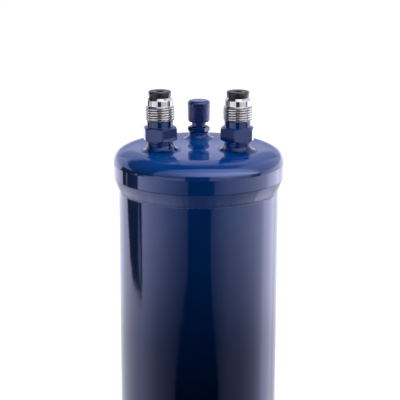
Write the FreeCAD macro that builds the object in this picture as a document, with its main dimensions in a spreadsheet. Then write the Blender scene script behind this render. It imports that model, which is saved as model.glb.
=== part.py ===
# Oil separator for a refrigeration circuit: a steel tube closed by two pressed caps, with its
# inlet, outlet and oil return on the top cap and a float valve in the sump.
#
# Millimetres and degrees. +Z is up, the axis of the vessel is the Z axis, and Z = 0 is the
# surface it stands on. Seen from the front (along +Y) the inlet is on the left (-X), the outlet
# on the right and the oil return behind them.

import FreeCAD, Part
import math
import os

import Sketcher

V = FreeCAD.Vector

# Driving sizes: name, value, what it is.
SIZES = [
    # Vessel
    ("tube_od", 108.0, "outside diameter of the shell tube"),
    ("tube_wall", 2.5, "wall of the shell tube"),
    ("shell_height", 233.1, "crown of the bottom cap to crown of the top cap"),
    ("cap_wall", 3.0, "sheet of the pressed caps"),
    ("cap_gap", 0.2, "gap between the tube and the cap skirt lapped over it"),
    ("crown_radius", 810.0, "crown of the cap, outside"),
    ("shoulder_width", 13.3, "edge of the crown to the outside of the skirt"),
    ("shoulder_radius", 19.5, "shoulder of the cap, outside"),
    ("knuckle_radius", 8.9, "knuckle of the cap, outside"),
    ("skirt_height", 8.88, "straight skirt of the cap"),
    ("tube_lap", 7.0, "how far the tube runs up inside the skirt"),
    ("girth_weld", 10.1, "height of the weld that runs from the skirt down the tube"),
    ("girth_weld_bulge", 60.0, "radius of that weld's face"),
    # Foot of the vessel
    ("foot_height", 4.0, "floor to the crown of the bottom cap"),
    ("foot_radius", 22.0, "flange of the mounting boss"),
    ("boss_radius", 12.0, "neck of the mounting boss"),
    ("boss_top", 18.0, "floor to the top of the boss"),
    ("boss_bore", 8.5, "bore of the M10 thread in the boss"),
    ("boss_bore_depth", 13.0, "depth of that thread"),
    ("foot_weld", 4.5, "leg of the weld round the foot, along the crown"),
    ("foot_weld_rise", 1.2, "floor to the lower edge of that weld"),
    ("seat_gap", 0.05, "joint between two pieces that are welded, pressed or brazed"),
    # Places of the connections on the top cap
    ("port_edge", 21.1, "axis of the inlet and the outlet to the inside of the tube"),
    ("port_angle", 56.0, "angle of the inlet and the outlet from the front"),
    ("return_edge", 31.5, "axis of the oil return to the inside of the tube"),
    # Inlet and outlet: male flare fittings, 3/4-16 thread
    ("port_bore", 11.0, "bore of the fitting"),
    ("port_stub", 15.8, "round stub that goes through the cap"),
    ("port_spigot", 10.1, "crown of the cap to the lower end of the stub"),
    ("port_hex_base", 6.2, "crown of the cap to the underside of the hexagon"),
    ("port_hex", 20.64, "hexagon across flats"),
    ("port_hex_height", 9.0, "height of the hexagon"),
    ("port_neck", 17.1, "neck between the hexagon and the thread"),
    ("port_neck_height", 4.0, "height of the neck"),
    ("port_thread", 19.05, "outside diameter of the thread"),
    ("port_thread_height", 9.85, "length of the thread"),
    ("port_thread_chamfer", 0.9, "chamfer at the ends of the thread"),
    ("port_land", 16.8, "plain land above the thread"),
    ("port_land_height", 3.85, "height of the land"),
    ("port_nose_height", 1.7, "height of the 45 degree flare seat"),
    ("port_hex_turn", 10.0, "how far a corner of the hexagon is turned away from the front"),
    ("port_weld", 15.0, "radius of the weld's toe on the shoulder of the cap"),
    ("port_weld_drop", 1.4, "crown of the cap to that toe"),
    ("port_weld_neck", 0.6, "weld metal left on the stub under the hexagon"),
    ("port_weld_hollow", 9.5, "radius of the hollow face of the weld"),
    # Oil return: male flare fitting, 7/16-20 thread, closed by a screwed cap
    ("return_bore", 3.2, "bore of the fitting"),
    ("return_stub", 11.2, "round stub that goes through the cap"),
    ("return_spigot", 8.1, "crown of the cap to the lower end of the stub"),
    ("return_hex_base", 4.3, "crown of the cap to the underside of the collar"),
    ("return_hex", 13.0, "collar across flats"),
    ("return_hex_height", 4.05, "height of the collar"),
    ("return_neck", 9.65, "undercut above the collar"),
    ("return_neck_height", 3.4, "height of the undercut"),
    ("return_thread", 11.11, "outside diameter of the thread"),
    ("return_thread_height", 8.6, "length of the thread"),
    ("return_nose_height", 2.0, "height of the 45 degree flare seat"),
    ("return_socket", 8.0, "depth of the socket for the oil return tube"),
    ("return_weld", 11.0, "radius of the weld's toe on the cap"),
    ("return_weld_drop", 0.7, "crown of the cap to that toe"),
    ("return_weld_neck", 0.5, "weld metal left on the stub under the collar"),
    ("return_weld_hollow", 8.0, "radius of the hollow face of the weld"),
    ("cap_nut", 15.2, "outside diameter of the screwed cap"),
    ("cap_nut_lift", 3.05, "collar to the lower edge of the screwed cap"),
    ("cap_nut_height", 14.55, "height of the screwed cap"),
    ("cap_nut_round", 1.6, "rounded top edge of the screwed cap"),
    ("cap_nut_chamfer", 0.7, "chamfer at its lower edge"),
    ("gasket_thickness", 1.1, "copper gasket inside the screwed cap"),
    ("thread_fit", 0.05, "radial clearance of the screwed cap on its thread"),
    # Transport plugs in the inlet and the outlet
    ("plug_flange", 14.8, "flange of the plug"),
    ("plug_flange_foot", 14.1, "underside of the flange"),
    ("plug_flange_height", 3.9, "height of the flange"),
    ("plug_flange_round", 0.9, "rounded upper edge of the flange"),
    ("plug_depth", 10.0, "how far the plug goes into the bore"),
    ("plug_hole", 5.3, "blind hole of the plug"),
    ("plug_hole_depth", 11.5, "depth of that hole"),
    ("plug_tip", 1.2, "chamfer at the end of the plug"),
    ("plug_fit", 0.05, "radial clearance of the plug in the bore"),
    # Screens
    ("screen_gap", 5.1, "screen's end cap to the inside of the tube"),
    ("screen_sheet", 1.0, "wall of the screens and their end pieces"),
    ("screen_lip", 4.0, "lip of the end pieces round the screen"),
    ("screen_hub", 4.5, "height of the collar round the stub"),
    ("inlet_screen_length", 45.0, "length of the inlet screen"),
    ("outlet_screen_length", 70.0, "length of the outlet screen"),
    # Baffle over the sump
    ("baffle_height", 92.0, "floor to the underside of the baffle"),
    ("baffle_sheet", 1.2, "sheet of the baffle"),
    ("baffle_rim", 8.0, "height of its turned-down rim"),
    ("baffle_hole", 6.0, "drain holes of the baffle"),
    ("baffle_rings", 2.0, "rings of drain holes"),
    ("baffle_ring_step", 20.0, "radius from one ring of holes to the next"),
    ("baffle_gap", 0.3, "clearance round the rim and round the oil return tube"),
    # Oil return tube and float valve
    ("return_tube", 6.35, "outside diameter of the oil return tube"),
    ("return_tube_wall", 0.8, "wall of that tube"),
    ("valve_radius", 8.0, "body of the float valve"),
    ("valve_lift", 5.0, "pivot to the underside of the valve body"),
    ("valve_height", 24.0, "height of the valve body"),
    ("guide_height", 5.0, "length of the needle's guide"),
    ("chamber_radius", 2.75, "oil chamber under the seat"),
    ("chamber_height", 4.0, "height of that chamber"),
    ("chamber_port", 3.0, "cross holes that let the oil in"),
    ("seat_height", 5.0, "height of the valve seat"),
    ("seat_bore", 1.6, "orifice of the seat"),
    ("needle_radius", 2.0, "shank of the needle"),
    ("needle_neck", 1.1, "radius of its groove"),
    ("needle_groove", 2.9, "height of the groove that the fork sits in"),
    ("needle_foot", 1.4, "height of the needle's lower collar"),
    ("needle_tip", 0.35, "radius of its blunt tip"),
    ("running_fit", 0.05, "radial clearance of what slides or turns"),
    ("pivot_reach", 9.0, "axis of the needle to the pivot"),
    ("pin_radius", 1.5, "pivot pin"),
    ("pin_length", 17.0, "length of the pivot pin"),
    ("cheek_sheet", 2.5, "cheeks of the valve body"),
    ("cheek_inside", 4.6, "axis to the inside of a cheek"),
    ("cheek_radius", 4.0, "rounded end of a cheek round the pin"),
    ("arm_sheet", 1.0, "sheet of the float arm"),
    ("arm_width", 7.0, "width of the float arm"),
    ("hub_radius", 3.0, "hub of the float arm"),
    ("fork_slot", 1.4, "half width of the slot in the fork"),
    ("fork_reach", 3.0, "fork beyond the axis of the needle"),
    ("ball_radius", 18.0, "float ball"),
    ("ball_sheet", 0.8, "sheet of the float ball"),
    ("ball_wall_gap", 12.0, "float ball to the inside of the tube"),
    ("ball_floor_gap", 1.0, "float ball at rest to the level of the boss's top"),
    ("ball_stem", 2.6, "radius of the ball's stem"),
    ("ball_stem_length", 3.0, "length of the stem outside the ball"),
    # Magnet in the sump
    ("magnet_radius", 19.0, "outside of the ring magnet"),
    ("magnet_height", 6.0, "height of the ring magnet"),
]

# Places that follow from the sizes: name, formula.
PLACES = [
    ("tube_r", "Sizes.tube_od / 2"),
    ("tube_in", "Sizes.tube_od / 2 - Sizes.tube_wall"),
    ("skirt_in", "Places.tube_r + Sizes.cap_gap"),
    ("skirt_r", "Places.skirt_in + Sizes.cap_wall"),
    ("crown_bottom", "Sizes.foot_height"),
    ("crown_top", "Places.crown_bottom + Sizes.shell_height"),
    # Corners of the cap's outline: radius, and drop below the crown
    ("crown_edge", "Places.skirt_r - Sizes.shoulder_width"),
    ("crown_angle", "asin(Places.crown_edge / Sizes.crown_radius) / 1deg"),
    ("shoulder_axis", "Places.crown_edge - Sizes.shoulder_radius * sin(Places.crown_angle)"),
    ("knuckle_axis", "Places.skirt_r - Sizes.knuckle_radius"),
    ("shoulder_angle", "asin((Places.knuckle_axis - Places.shoulder_axis)"
                       " / (Sizes.shoulder_radius - Sizes.knuckle_radius)) / 1deg"),
    ("crown_drop", "Sizes.crown_radius * (1 - cos(Places.crown_angle))"),
    ("shoulder_drop", "Places.crown_drop + Sizes.shoulder_radius"
                      " * (cos(Places.crown_angle) - cos(Places.shoulder_angle))"),
    ("knuckle_drop", "Places.shoulder_drop + Sizes.knuckle_radius * cos(Places.shoulder_angle)"),
    ("skirt_drop", "Places.knuckle_drop + Sizes.skirt_height"),
    ("tube_top", "Places.crown_top - Places.skirt_drop + Sizes.tube_lap"),
    ("tube_bottom", "Places.crown_bottom + Places.skirt_drop - Sizes.tube_lap"),
    # Axes of the connections
    ("port_pitch", "Places.tube_in - Sizes.port_edge"),
    ("port_x", "Places.port_pitch * sin(Sizes.port_angle)"),
    ("port_y", "-Places.port_pitch * cos(Sizes.port_angle)"),
    ("return_y", "Places.tube_in - Sizes.return_edge"),
    # Heights along the inlet and the outlet
    ("port_foot", "Places.crown_top - Sizes.port_spigot"),
    ("port_hex_foot", "Places.crown_top + Sizes.port_hex_base"),
    ("port_hex_top", "Places.port_hex_foot + Sizes.port_hex_height"),
    ("port_thread_foot", "Places.port_hex_top + Sizes.port_neck_height"),
    ("port_thread_top", "Places.port_thread_foot + Sizes.port_thread_height"),
    ("port_land_top", "Places.port_thread_top + Sizes.port_land_height"),
    ("port_top", "Places.port_land_top + Sizes.port_nose_height"),
    # Heights along the oil return
    ("return_foot", "Places.crown_top - Sizes.return_spigot"),
    ("return_hex_foot", "Places.crown_top + Sizes.return_hex_base"),
    ("return_hex_top", "Places.return_hex_foot + Sizes.return_hex_height"),
    ("return_thread_foot", "Places.return_hex_top + Sizes.return_neck_height"),
    ("return_thread_top", "Places.return_thread_foot + Sizes.return_thread_height"),
    ("return_top", "Places.return_thread_top + Sizes.return_nose_height"),
    ("cap_nut_foot", "Places.return_hex_top + Sizes.cap_nut_lift"),
    ("cap_nut_top", "Places.cap_nut_foot + Sizes.cap_nut_height"),
    # Screens
    ("screen_r", "Sizes.port_edge - Sizes.screen_gap"),
    # Float valve, from the pivot up
    ("pivot_height", "Sizes.boss_top + Sizes.ball_floor_gap + Sizes.ball_radius"),
    ("valve_foot", "Places.pivot_height + Sizes.valve_lift"),
    ("valve_top", "Places.valve_foot + Sizes.valve_height"),
    ("chamber_foot", "Places.valve_foot + Sizes.guide_height"),
    ("seat_foot", "Places.chamber_foot + Sizes.chamber_height"),
    ("seat_top", "Places.seat_foot + Sizes.seat_height"),
    ("pivot_y", "Places.return_y - Sizes.pivot_reach"),
    ("ball_y", "-(Places.tube_in - Sizes.ball_wall_gap - Sizes.ball_radius)"),
    ("stem_end", "Places.ball_y + Sizes.ball_radius + Sizes.ball_stem_length"),
    # Height of the bottom cap's inside where the magnet's lower edge meets it
    ("crown_in", "Sizes.crown_radius - Sizes.cap_wall"),
    ("magnet_foot", "Places.crown_bottom + Sizes.cap_wall + Places.crown_in"
                    " - sqrt(Places.crown_in ^ 2 - Sizes.magnet_radius ^ 2) + Sizes.seat_gap"),
]

doc = FreeCAD.newDocument("OilSeparator")

sizes = doc.addObject("Spreadsheet::Sheet", "Sizes")
for row, (name, number, meaning) in enumerate(SIZES, start=1):
    sizes.set(f"A{row}", name)
    sizes.set(f"B{row}", str(number))
    sizes.set(f"C{row}", meaning)
    sizes.setAlias(f"B{row}", name)
doc.recompute()

places = doc.addObject("App::VarSet", "Places")
for name, formula in PLACES:
    places.addProperty("App::PropertyFloat", name)
    places.setExpression(name, formula)
    doc.recompute([places])


def number(formula):
    """The value of a formula over the sizes and places."""
    found = places.evalExpression(str(formula))
    return float(getattr(found, "Value", found))


def bind(thing, **formulas):
    """Binds properties to formulas; Placement_Base_x stands for Placement.Base.x."""
    for name, formula in formulas.items():
        thing.setExpression(name.replace("_", "."), str(formula))
    return thing


def crown_under(radius, lift="0"):
    """Formula for the height of the bottom cap's outside at a radius."""
    return (f"Places.crown_bottom + Sizes.crown_radius"
            f" - sqrt(Sizes.crown_radius ^ 2 - ({radius}) ^ 2) - ({lift})")


# Sketches

def arc_between(start, end, radius, turn):
    """Arc of a radius between two points; turn 1 runs anticlockwise from start to end."""
    chord = end - start
    middle = (start + end) / 2
    rise = math.sqrt(max(radius ** 2 - (chord.Length / 2) ** 2, 0.0))
    across = V(-chord.y, chord.x, 0) / chord.Length
    centre = middle + across * rise * turn
    angles = [math.atan2(p.y - centre.y, p.x - centre.x) for p in (start, end)]
    if turn < 0:
        angles.reverse()
    return Part.ArcOfCircle(Part.Circle(centre, V(0, 0, 1), radius), *angles)


def outline(sketch, corners):
    """Draws a closed outline and ties each corner to its two formulas.

    A corner is (across, up), or (across, up, radius, turn) where an arc runs to the next one."""
    points = [V(number(c[0]), number(c[1]), 0) for c in corners]
    ends = []
    for i, corner in enumerate(corners):
        start = points[i]
        end = points[(i + 1) % len(points)]
        if len(corner) == 2:
            sketch.addGeometry(Part.LineSegment(start, end))
            ends.append((1, 2))
        else:
            radius, turn = corner[2:]
            sketch.addGeometry(arc_between(start, end, number(radius), turn))
            ends.append((1, 2) if turn > 0 else (2, 1))
            k = sketch.addConstraint(Sketcher.Constraint("Radius", i, number(radius)))
            sketch.setExpression(f"Constraints[{k}]", str(radius))
    for i, corner in enumerate(corners):
        after = (i + 1) % len(corners)
        sketch.addConstraint(Sketcher.Constraint("Coincident", i, ends[i][1], after, ends[after][0]))
        for kind, formula, axis in (("DistanceX", corner[0], -2), ("DistanceY", corner[1], -1)):
            place = number(formula)
            if str(formula) == "0":
                rule = Sketcher.Constraint("PointOnObject", i, ends[i][0], axis)
                sketch.addConstraint(rule)
                continue
            rule = Sketcher.Constraint(kind, -1, 1, i, ends[i][0], place)
            k = sketch.addConstraint(rule)
            sketch.setExpression(f"Constraints[{k}]", str(formula))


def new_sketch(body, plane, name):
    """Empty sketch on one of a body's own planes."""
    sketch = body.newObject("Sketcher::SketchObject", name)
    face = next(f for f in body.Origin.OriginFeatures if f.Role == plane)
    sketch.AttachmentSupport = [(face, "")]
    sketch.MapMode = "FlatFace"
    return sketch


def turned(name, corners, x="0", y="0"):
    """A turned or spun piece: an outline of radii and heights, turned round the Z axis at x, y."""
    body = doc.addObject("PartDesign::Body", name)
    sketch = new_sketch(body, "XZ_Plane", name + "_outline")
    outline(sketch, corners)
    turn = body.newObject("PartDesign::Revolution", name + "_turn")
    turn.Profile = sketch
    turn.ReferenceAxis = (sketch, ["V_Axis"])
    turn.Angle = 360
    body.Tip = turn
    sketch.Visibility = False
    return bind(body, Placement_Base_x=x, Placement_Base_y=y)


def padded(name, corners, thick, lift="0"):
    """A flat piece: an outline in plan, padded up by thick from the height lift."""
    body = doc.addObject("PartDesign::Body", name)
    sketch = new_sketch(body, "XY_Plane", name + "_outline")
    outline(sketch, corners)
    pad = body.newObject("PartDesign::Pad", name + "_pad")
    pad.Profile = sketch
    pad.setExpression("Length", thick)
    body.Tip = pad
    return bind(body, Placement_Base_z=lift)


# Booleans and primitives

def cut(name, base, tool):
    made = doc.addObject("Part::Cut", name)
    made.Base = base
    made.Tool = tool
    return made


def fuse(name, *shapes):
    made = doc.addObject("Part::MultiFuse", name)
    made.Shapes = list(shapes)
    made.Refine = True
    return made


def common(name, *shapes):
    made = doc.addObject("Part::MultiCommon", name)
    made.Shapes = list(shapes)
    return made


def cylinder(name, radius, height, x="0", y="0", z="0", axis=None):
    """Upright cylinder standing at x, y, z, or lying along an axis from there."""
    rod = doc.addObject("Part::Cylinder", name)
    if axis is not None:
        rod.Placement = FreeCAD.Placement(V(), FreeCAD.Rotation(V(0, 0, 1), axis))
    bind(rod, Radius=radius, Height=height)
    return bind(rod, Placement_Base_x=x, Placement_Base_y=y, Placement_Base_z=z)


def hexagon(name, across_flats, foot, top, turn, x="0", y="0"):
    """Hexagon bar with its corners bevelled at 30 degrees at both ends, turned about its axis."""
    bar = doc.addObject("Part::Prism", name + "_bar")
    bar.Polygon = 6
    bar.Placement = FreeCAD.Placement(V(), FreeCAD.Rotation(V(0, 0, 1), 1))
    bind(bar, Circumradius=f"{across_flats} / 2 / cos(30)", Height=f"{top} - {foot}")
    bind(bar, Placement_Base_x=x, Placement_Base_y=y, Placement_Base_z=foot)
    bind(bar, Placement_Rotation_Angle=turn)
    flat = f"{across_flats} / 2"
    corner = f"{across_flats} / 2 / cos(30)"
    bevel = f"{across_flats} / 2 * (1 / cos(30) - 1) * tan(30)"
    blank = turned(name + "_blank", [
        ("0", foot),
        (flat, foot),
        (corner, f"{foot} + {bevel}"),
        (corner, f"{top} - {bevel}"),
        (flat, top),
        ("0", top),
    ], x, y)
    return common(name, bar, blank)


# The pressed cap: both forms of the press, and the ends of the vessel cut from them

def dish(name, wall):
    """Filled form of the cap's outside, or of its inside where wall is the sheet's thickness."""
    skirt = f"Places.skirt_r - {wall}"
    top = f"Places.crown_top - {wall}"
    knuckle = "Places.crown_top - Places.knuckle_drop"
    return turned(name, [
        ("0", "Places.crown_top - Places.skirt_drop"),
        (skirt, "Places.crown_top - Places.skirt_drop"),
        (skirt, knuckle, f"Sizes.knuckle_radius - {wall}", 1),
        (f"Places.knuckle_axis + (Sizes.knuckle_radius - {wall}) * sin(Places.shoulder_angle)",
         f"{knuckle} + (Sizes.knuckle_radius - {wall}) * cos(Places.shoulder_angle)",
         f"Sizes.shoulder_radius - {wall}", 1),
        (f"Places.shoulder_axis + (Sizes.shoulder_radius - {wall}) * sin(Places.crown_angle)",
         "Places.crown_top - Sizes.crown_radius"
         f" + (Sizes.crown_radius - {wall}) * cos(Places.crown_angle)",
         f"Sizes.crown_radius - {wall}", 1),
        ("0", top),
    ])


def upside_down(body):
    """Turns a form of the top cap over, to the bottom of the vessel."""
    body.Placement = FreeCAD.Placement(V(), FreeCAD.Rotation(V(1, 0, 0), 180))
    return bind(body, Placement_Base_z="Places.crown_top + Places.crown_bottom")


def port_hole(name, bore, x, y):
    """Hole through the top cap for the stub of a fitting."""
    return cylinder(name, f"{bore} / 2 + Sizes.seat_gap", "3 * Sizes.cap_wall + Sizes.skirt_height",
                    x, y, "Places.crown_top - 2 * Sizes.cap_wall - Sizes.skirt_height / 2")


PORTS = {"inlet": "-Places.port_x", "outlet": "Places.port_x"}

outside = dish("cap_outside", "0")
inside = dish("cap_inside", "Sizes.cap_wall")
holes = [port_hole(name + "_hole", "Sizes.port_stub", x, "Places.port_y")
         for name, x in PORTS.items()]
holes.append(port_hole("oil_return_hole", "Sizes.return_stub", "0", "Places.return_y"))
top_cap = cut("top_cap", cut("top_dish", outside, inside), fuse("cap_holes", *holes))

boss_hole = cylinder("boss_hole", "Sizes.boss_radius + Sizes.seat_gap", "Sizes.boss_top")
bottom_dish = cut("bottom_dish", upside_down(dish("bottom_outside", "0")),
                  upside_down(dish("bottom_inside", "Sizes.cap_wall")))
bottom_cap = cut("bottom_cap", bottom_dish, boss_hole)

shell_tube = turned("shell_tube", [
    ("Places.tube_in", "Places.tube_bottom"),
    ("Places.tube_r", "Places.tube_bottom"),
    ("Places.tube_r", "Places.tube_top"),
    ("Places.tube_in", "Places.tube_top"),
])


def girth_weld(name, edge, down):
    """Weld that fills the step from a skirt's edge to the tube; down is 1 under the top cap."""
    toe = f"{edge} - {down} * Sizes.girth_weld"
    return turned(name, [
        ("Places.tube_r", edge),
        ("Places.tube_r", toe, "Sizes.girth_weld_bulge", down),
        ("Places.skirt_r", edge),
    ])


upper_girth_weld = girth_weld("upper_girth_weld", "Places.crown_top - Places.skirt_drop", 1)
lower_girth_weld = girth_weld("lower_girth_weld", "Places.crown_bottom + Places.skirt_drop", -1)

# Mounting boss: a turned flange and neck with a blind thread, welded into the bottom crown

mounting_boss = turned("mounting_boss", [
    ("Sizes.boss_bore / 2", "0"),
    ("Sizes.foot_radius", "0"),
    ("Sizes.foot_radius", crown_under("Sizes.foot_radius", "Sizes.seat_gap"),
     "Sizes.crown_radius", -1),
    ("Sizes.boss_radius", crown_under("Sizes.boss_radius", "Sizes.seat_gap")),
    ("Sizes.boss_radius", "Sizes.boss_top"),
    ("0", "Sizes.boss_top"),
    ("0", "Sizes.boss_bore_depth + Sizes.boss_bore / 2 * tan(30)"),
    ("Sizes.boss_bore / 2", "Sizes.boss_bore_depth"),
])
foot_toe = "Sizes.foot_radius + Sizes.foot_weld"
boss_weld = turned("boss_weld", [
    ("Sizes.foot_radius", "Sizes.foot_weld_rise"),
    (foot_toe, crown_under(foot_toe), "Sizes.crown_radius", -1),
    ("Sizes.foot_radius", crown_under("Sizes.foot_radius")),
])

# Inlet and outlet


def port_weld(name, kind, top, x, y):
    """Hollow-faced weld round a stub, cut to the outside of the top cap."""
    stub = f"Sizes.{kind}_stub / 2"
    toe = f"Sizes.{kind}_weld"
    foot = f"Places.crown_top - Sizes.{kind}_weld_drop"
    flare = turned(name + "_flare", [
        (stub, f"{foot} - Sizes.cap_wall"),
        (toe, f"{foot} - Sizes.cap_wall"),
        (toe, foot, f"Sizes.{kind}_weld_hollow", -1),
        (f"{stub} + Sizes.{kind}_weld_neck", top),
        (stub, top),
    ], x, y)
    return cut(name, flare, outside)


def port_fitting(side, x, turn):
    """Flare fitting of the inlet or the outlet: stub, hexagon, neck, thread, land and nose."""
    bore = "Sizes.port_bore / 2"
    stub = "Sizes.port_stub / 2"
    neck = "Sizes.port_neck / 2"
    crest = "Sizes.port_thread / 2"
    root = "Sizes.port_thread / 2 - Sizes.port_thread_chamfer"
    land = "Sizes.port_land / 2"
    spindle = turned(side + "_spindle", [
        (bore, "Places.port_foot"),
        (stub, "Places.port_foot"),
        (stub, "Places.port_hex_foot"),
        (neck, "Places.port_hex_foot"),
        (neck, "Places.port_thread_foot"),
        (root, "Places.port_thread_foot"),
        (crest, "Places.port_thread_foot + Sizes.port_thread_chamfer * tan(30)"),
        (crest, "Places.port_thread_top - Sizes.port_thread_chamfer"),
        (root, "Places.port_thread_top"),
        (land, "Places.port_thread_top"),
        (land, "Places.port_land_top"),
        (f"{land} - Sizes.port_nose_height", "Places.port_top"),
        (bore, "Places.port_top"),
    ], x, "Places.port_y")
    hexed = hexagon(side + "_hexagon", "Sizes.port_hex", "Places.port_hex_foot",
                    "Places.port_hex_top", turn, x, "Places.port_y")
    through = cylinder(side + "_bore", bore, "Places.port_top - Places.port_foot",
                       x, "Places.port_y", "Places.port_foot")
    return fuse(side + "_fitting", spindle, cut(side + "_collar", hexed, through))


def plug(side, x):
    """Push-in plastic plug: flange with a rounded edge, hollow shank with a chamfered end."""
    shank = "Sizes.port_bore / 2 - Sizes.plug_fit"
    rim = "Sizes.plug_flange / 2"
    hole = "Sizes.plug_hole / 2"
    top = "Places.port_top + Sizes.plug_flange_height"
    tip = "Places.port_top - Sizes.plug_depth"
    edge = "Sizes.plug_flange_round"
    return turned(side + "_plug", [
        ("0", tip),
        (f"{shank} - Sizes.plug_tip", tip),
        (shank, f"{tip} + Sizes.plug_tip"),
        (shank, "Places.port_top"),
        ("Sizes.plug_flange_foot / 2", "Places.port_top"),
        (rim, f"{top} - {edge}", edge, 1),
        (f"{rim} - {edge}", top),
        (hole, top),
        (hole, f"{top} - Sizes.plug_hole_depth"),
        ("0", f"{top} - Sizes.plug_hole_depth"),
    ], x, "Places.port_y")


def screen(side, x, length):
    """Screen drum under a fitting: collar pressed on the stub, mesh drum and closed end cap."""
    sheet = "Sizes.screen_sheet"
    stub = "Sizes.port_stub / 2 + Sizes.seat_gap"
    rim = "Places.screen_r"
    drum = f"Places.screen_r - {sheet} - Sizes.seat_gap"
    top = "Places.port_foot"
    foot = f"Places.port_foot - {length}"
    collar = turned(side + "_screen_collar", [
        (stub, top),
        (f"{rim} - {sheet}", top),
        (f"{rim} - {sheet}", f"{top} - Sizes.screen_lip"),
        (rim, f"{top} - Sizes.screen_lip"),
        (rim, f"{top} + {sheet}"),
        (f"{stub} + {sheet}", f"{top} + {sheet}"),
        (f"{stub} + {sheet}", f"{top} + Sizes.screen_hub"),
        (stub, f"{top} + Sizes.screen_hub"),
    ], x, "Places.port_y")
    mesh = turned(side + "_screen", [
        (f"{drum} - {sheet}", foot),
        (drum, foot),
        (drum, top),
        (f"{drum} - {sheet}", top),
    ], x, "Places.port_y")
    end = turned(side + "_screen_cap", [
        ("0", f"{foot} - {sheet}"),
        (rim, f"{foot} - {sheet}"),
        (rim, f"{foot} + Sizes.screen_lip"),
        (f"{rim} - {sheet}", f"{foot} + Sizes.screen_lip"),
        (f"{rim} - {sheet}", foot),
        ("0", foot),
    ], x, "Places.port_y")
    return [collar, mesh, end]


# A corner of each hexagon is turned away from the front, to the right on the inlet and to the
# left on the outlet, and corners repeat every 60 degrees.
port_pieces = []
for side, turn in (("inlet", "30 + Sizes.port_hex_turn"), ("outlet", "30 - Sizes.port_hex_turn")):
    x = PORTS[side]
    port_pieces.append(port_fitting(side, x, turn))
    port_pieces.append(port_weld(side + "_weld", "port", "Places.port_hex_foot",
                                 x, "Places.port_y"))
    port_pieces.append(plug(side, x))
    port_pieces.extend(screen(side, x, f"Sizes.{side}_screen_length"))

# Oil return

stub = "Sizes.return_stub / 2"
bore = "Sizes.return_bore / 2"
neck = "Sizes.return_neck / 2"
crest = "Sizes.return_thread / 2"
socket = "Sizes.return_tube / 2 + Sizes.seat_gap"
return_spindle = turned("oil_return_spindle", [
    (socket, "Places.return_foot"),
    (stub, "Places.return_foot"),
    (stub, "Places.return_hex_foot"),
    (neck, "Places.return_hex_foot"),
    (neck, "Places.return_thread_foot"),
    (crest, f"Places.return_thread_foot + ({crest} - {neck}) * tan(45)"),
    (crest, "Places.return_thread_top"),
    (f"{crest} - Sizes.return_nose_height", "Places.return_top"),
    (bore, "Places.return_top"),
    (bore, "Places.return_foot + Sizes.return_socket"),
    (socket, "Places.return_foot + Sizes.return_socket"),
], y="Places.return_y")
return_hexagon = hexagon("oil_return_hexagon", "Sizes.return_hex", "Places.return_hex_foot",
                         "Places.return_hex_top", "0", y="Places.return_y")
return_bore = cylinder("oil_return_bore", bore, "Places.return_top - Places.return_foot",
                       y="Places.return_y", z="Places.return_foot")
oil_return_fitting = fuse("oil_return_fitting", return_spindle,
                          cut("oil_return_collar", return_hexagon, return_bore))
oil_return_weld = port_weld("oil_return_weld", "return", "Places.return_hex_foot",
                            "0", "Places.return_y")

nut = "Sizes.cap_nut / 2"
thread = "Sizes.return_thread / 2 + Sizes.thread_fit"
ceiling = "Places.return_top + Sizes.gasket_thickness"
oil_return_cap = turned("oil_return_cap", [
    (thread, "Places.cap_nut_foot"),
    (f"{nut} - Sizes.cap_nut_chamfer", "Places.cap_nut_foot"),
    (nut, "Places.cap_nut_foot + Sizes.cap_nut_chamfer"),
    (nut, "Places.cap_nut_top - Sizes.cap_nut_round", "Sizes.cap_nut_round", 1),
    (f"{nut} - Sizes.cap_nut_round", "Places.cap_nut_top"),
    ("0", "Places.cap_nut_top"),
    ("0", ceiling),
    (thread, ceiling),
], y="Places.return_y")
cap_gasket = turned("cap_gasket", [
    ("0", "Places.return_top"),
    (f"{crest} - Sizes.thread_fit", "Places.return_top"),
    (f"{crest} - Sizes.thread_fit", ceiling),
    ("0", ceiling),
], y="Places.return_y")

oil_return_tube = turned("oil_return_tube", [
    ("Sizes.return_tube / 2 - Sizes.return_tube_wall", "Places.seat_top"),
    ("Sizes.return_tube / 2", "Places.seat_top"),
    ("Sizes.return_tube / 2", "Places.return_foot + Sizes.return_socket"),
    ("Sizes.return_tube / 2 - Sizes.return_tube_wall", "Places.return_foot + Sizes.return_socket"),
], y="Places.return_y")

# Baffle: a dished disc with rings of drain holes and a hole for the oil return tube

rim = "Places.tube_in - Sizes.baffle_gap"
baffle_blank = turned("baffle_blank", [
    ("0", "Sizes.baffle_height"),
    (f"{rim} - Sizes.baffle_sheet", "Sizes.baffle_height"),
    (f"{rim} - Sizes.baffle_sheet", "Sizes.baffle_height - Sizes.baffle_rim"),
    (rim, "Sizes.baffle_height - Sizes.baffle_rim"),
    (rim, "Sizes.baffle_height", "Sizes.baffle_sheet", 1),
    (f"{rim} - Sizes.baffle_sheet", "Sizes.baffle_height + Sizes.baffle_sheet"),
    ("0", "Sizes.baffle_height + Sizes.baffle_sheet"),
])
drains = [cylinder("baffle_tube_hole", "Sizes.return_tube / 2 + Sizes.baffle_gap",
                   "3 * Sizes.baffle_sheet", y="Places.return_y",
                   z="Sizes.baffle_height - Sizes.baffle_sheet")]
for ring in range(1, int(sizes.baffle_rings) + 1):
    count = 6 * ring
    for i in range(count):
        angle = 360 / count * i
        drains.append(cylinder(f"drain_{ring}_{i}", "Sizes.baffle_hole / 2",
                               "3 * Sizes.baffle_sheet",
                               f"{ring} * Sizes.baffle_ring_step * cos({angle})",
                               f"{ring} * Sizes.baffle_ring_step * sin({angle})",
                               "Sizes.baffle_height - Sizes.baffle_sheet"))
baffle_plate = cut("baffle_plate", baffle_blank, fuse("drains", *drains))

# Float valve: body with needle guide, chamber and two cheeks that hold the pivot pin

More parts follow.
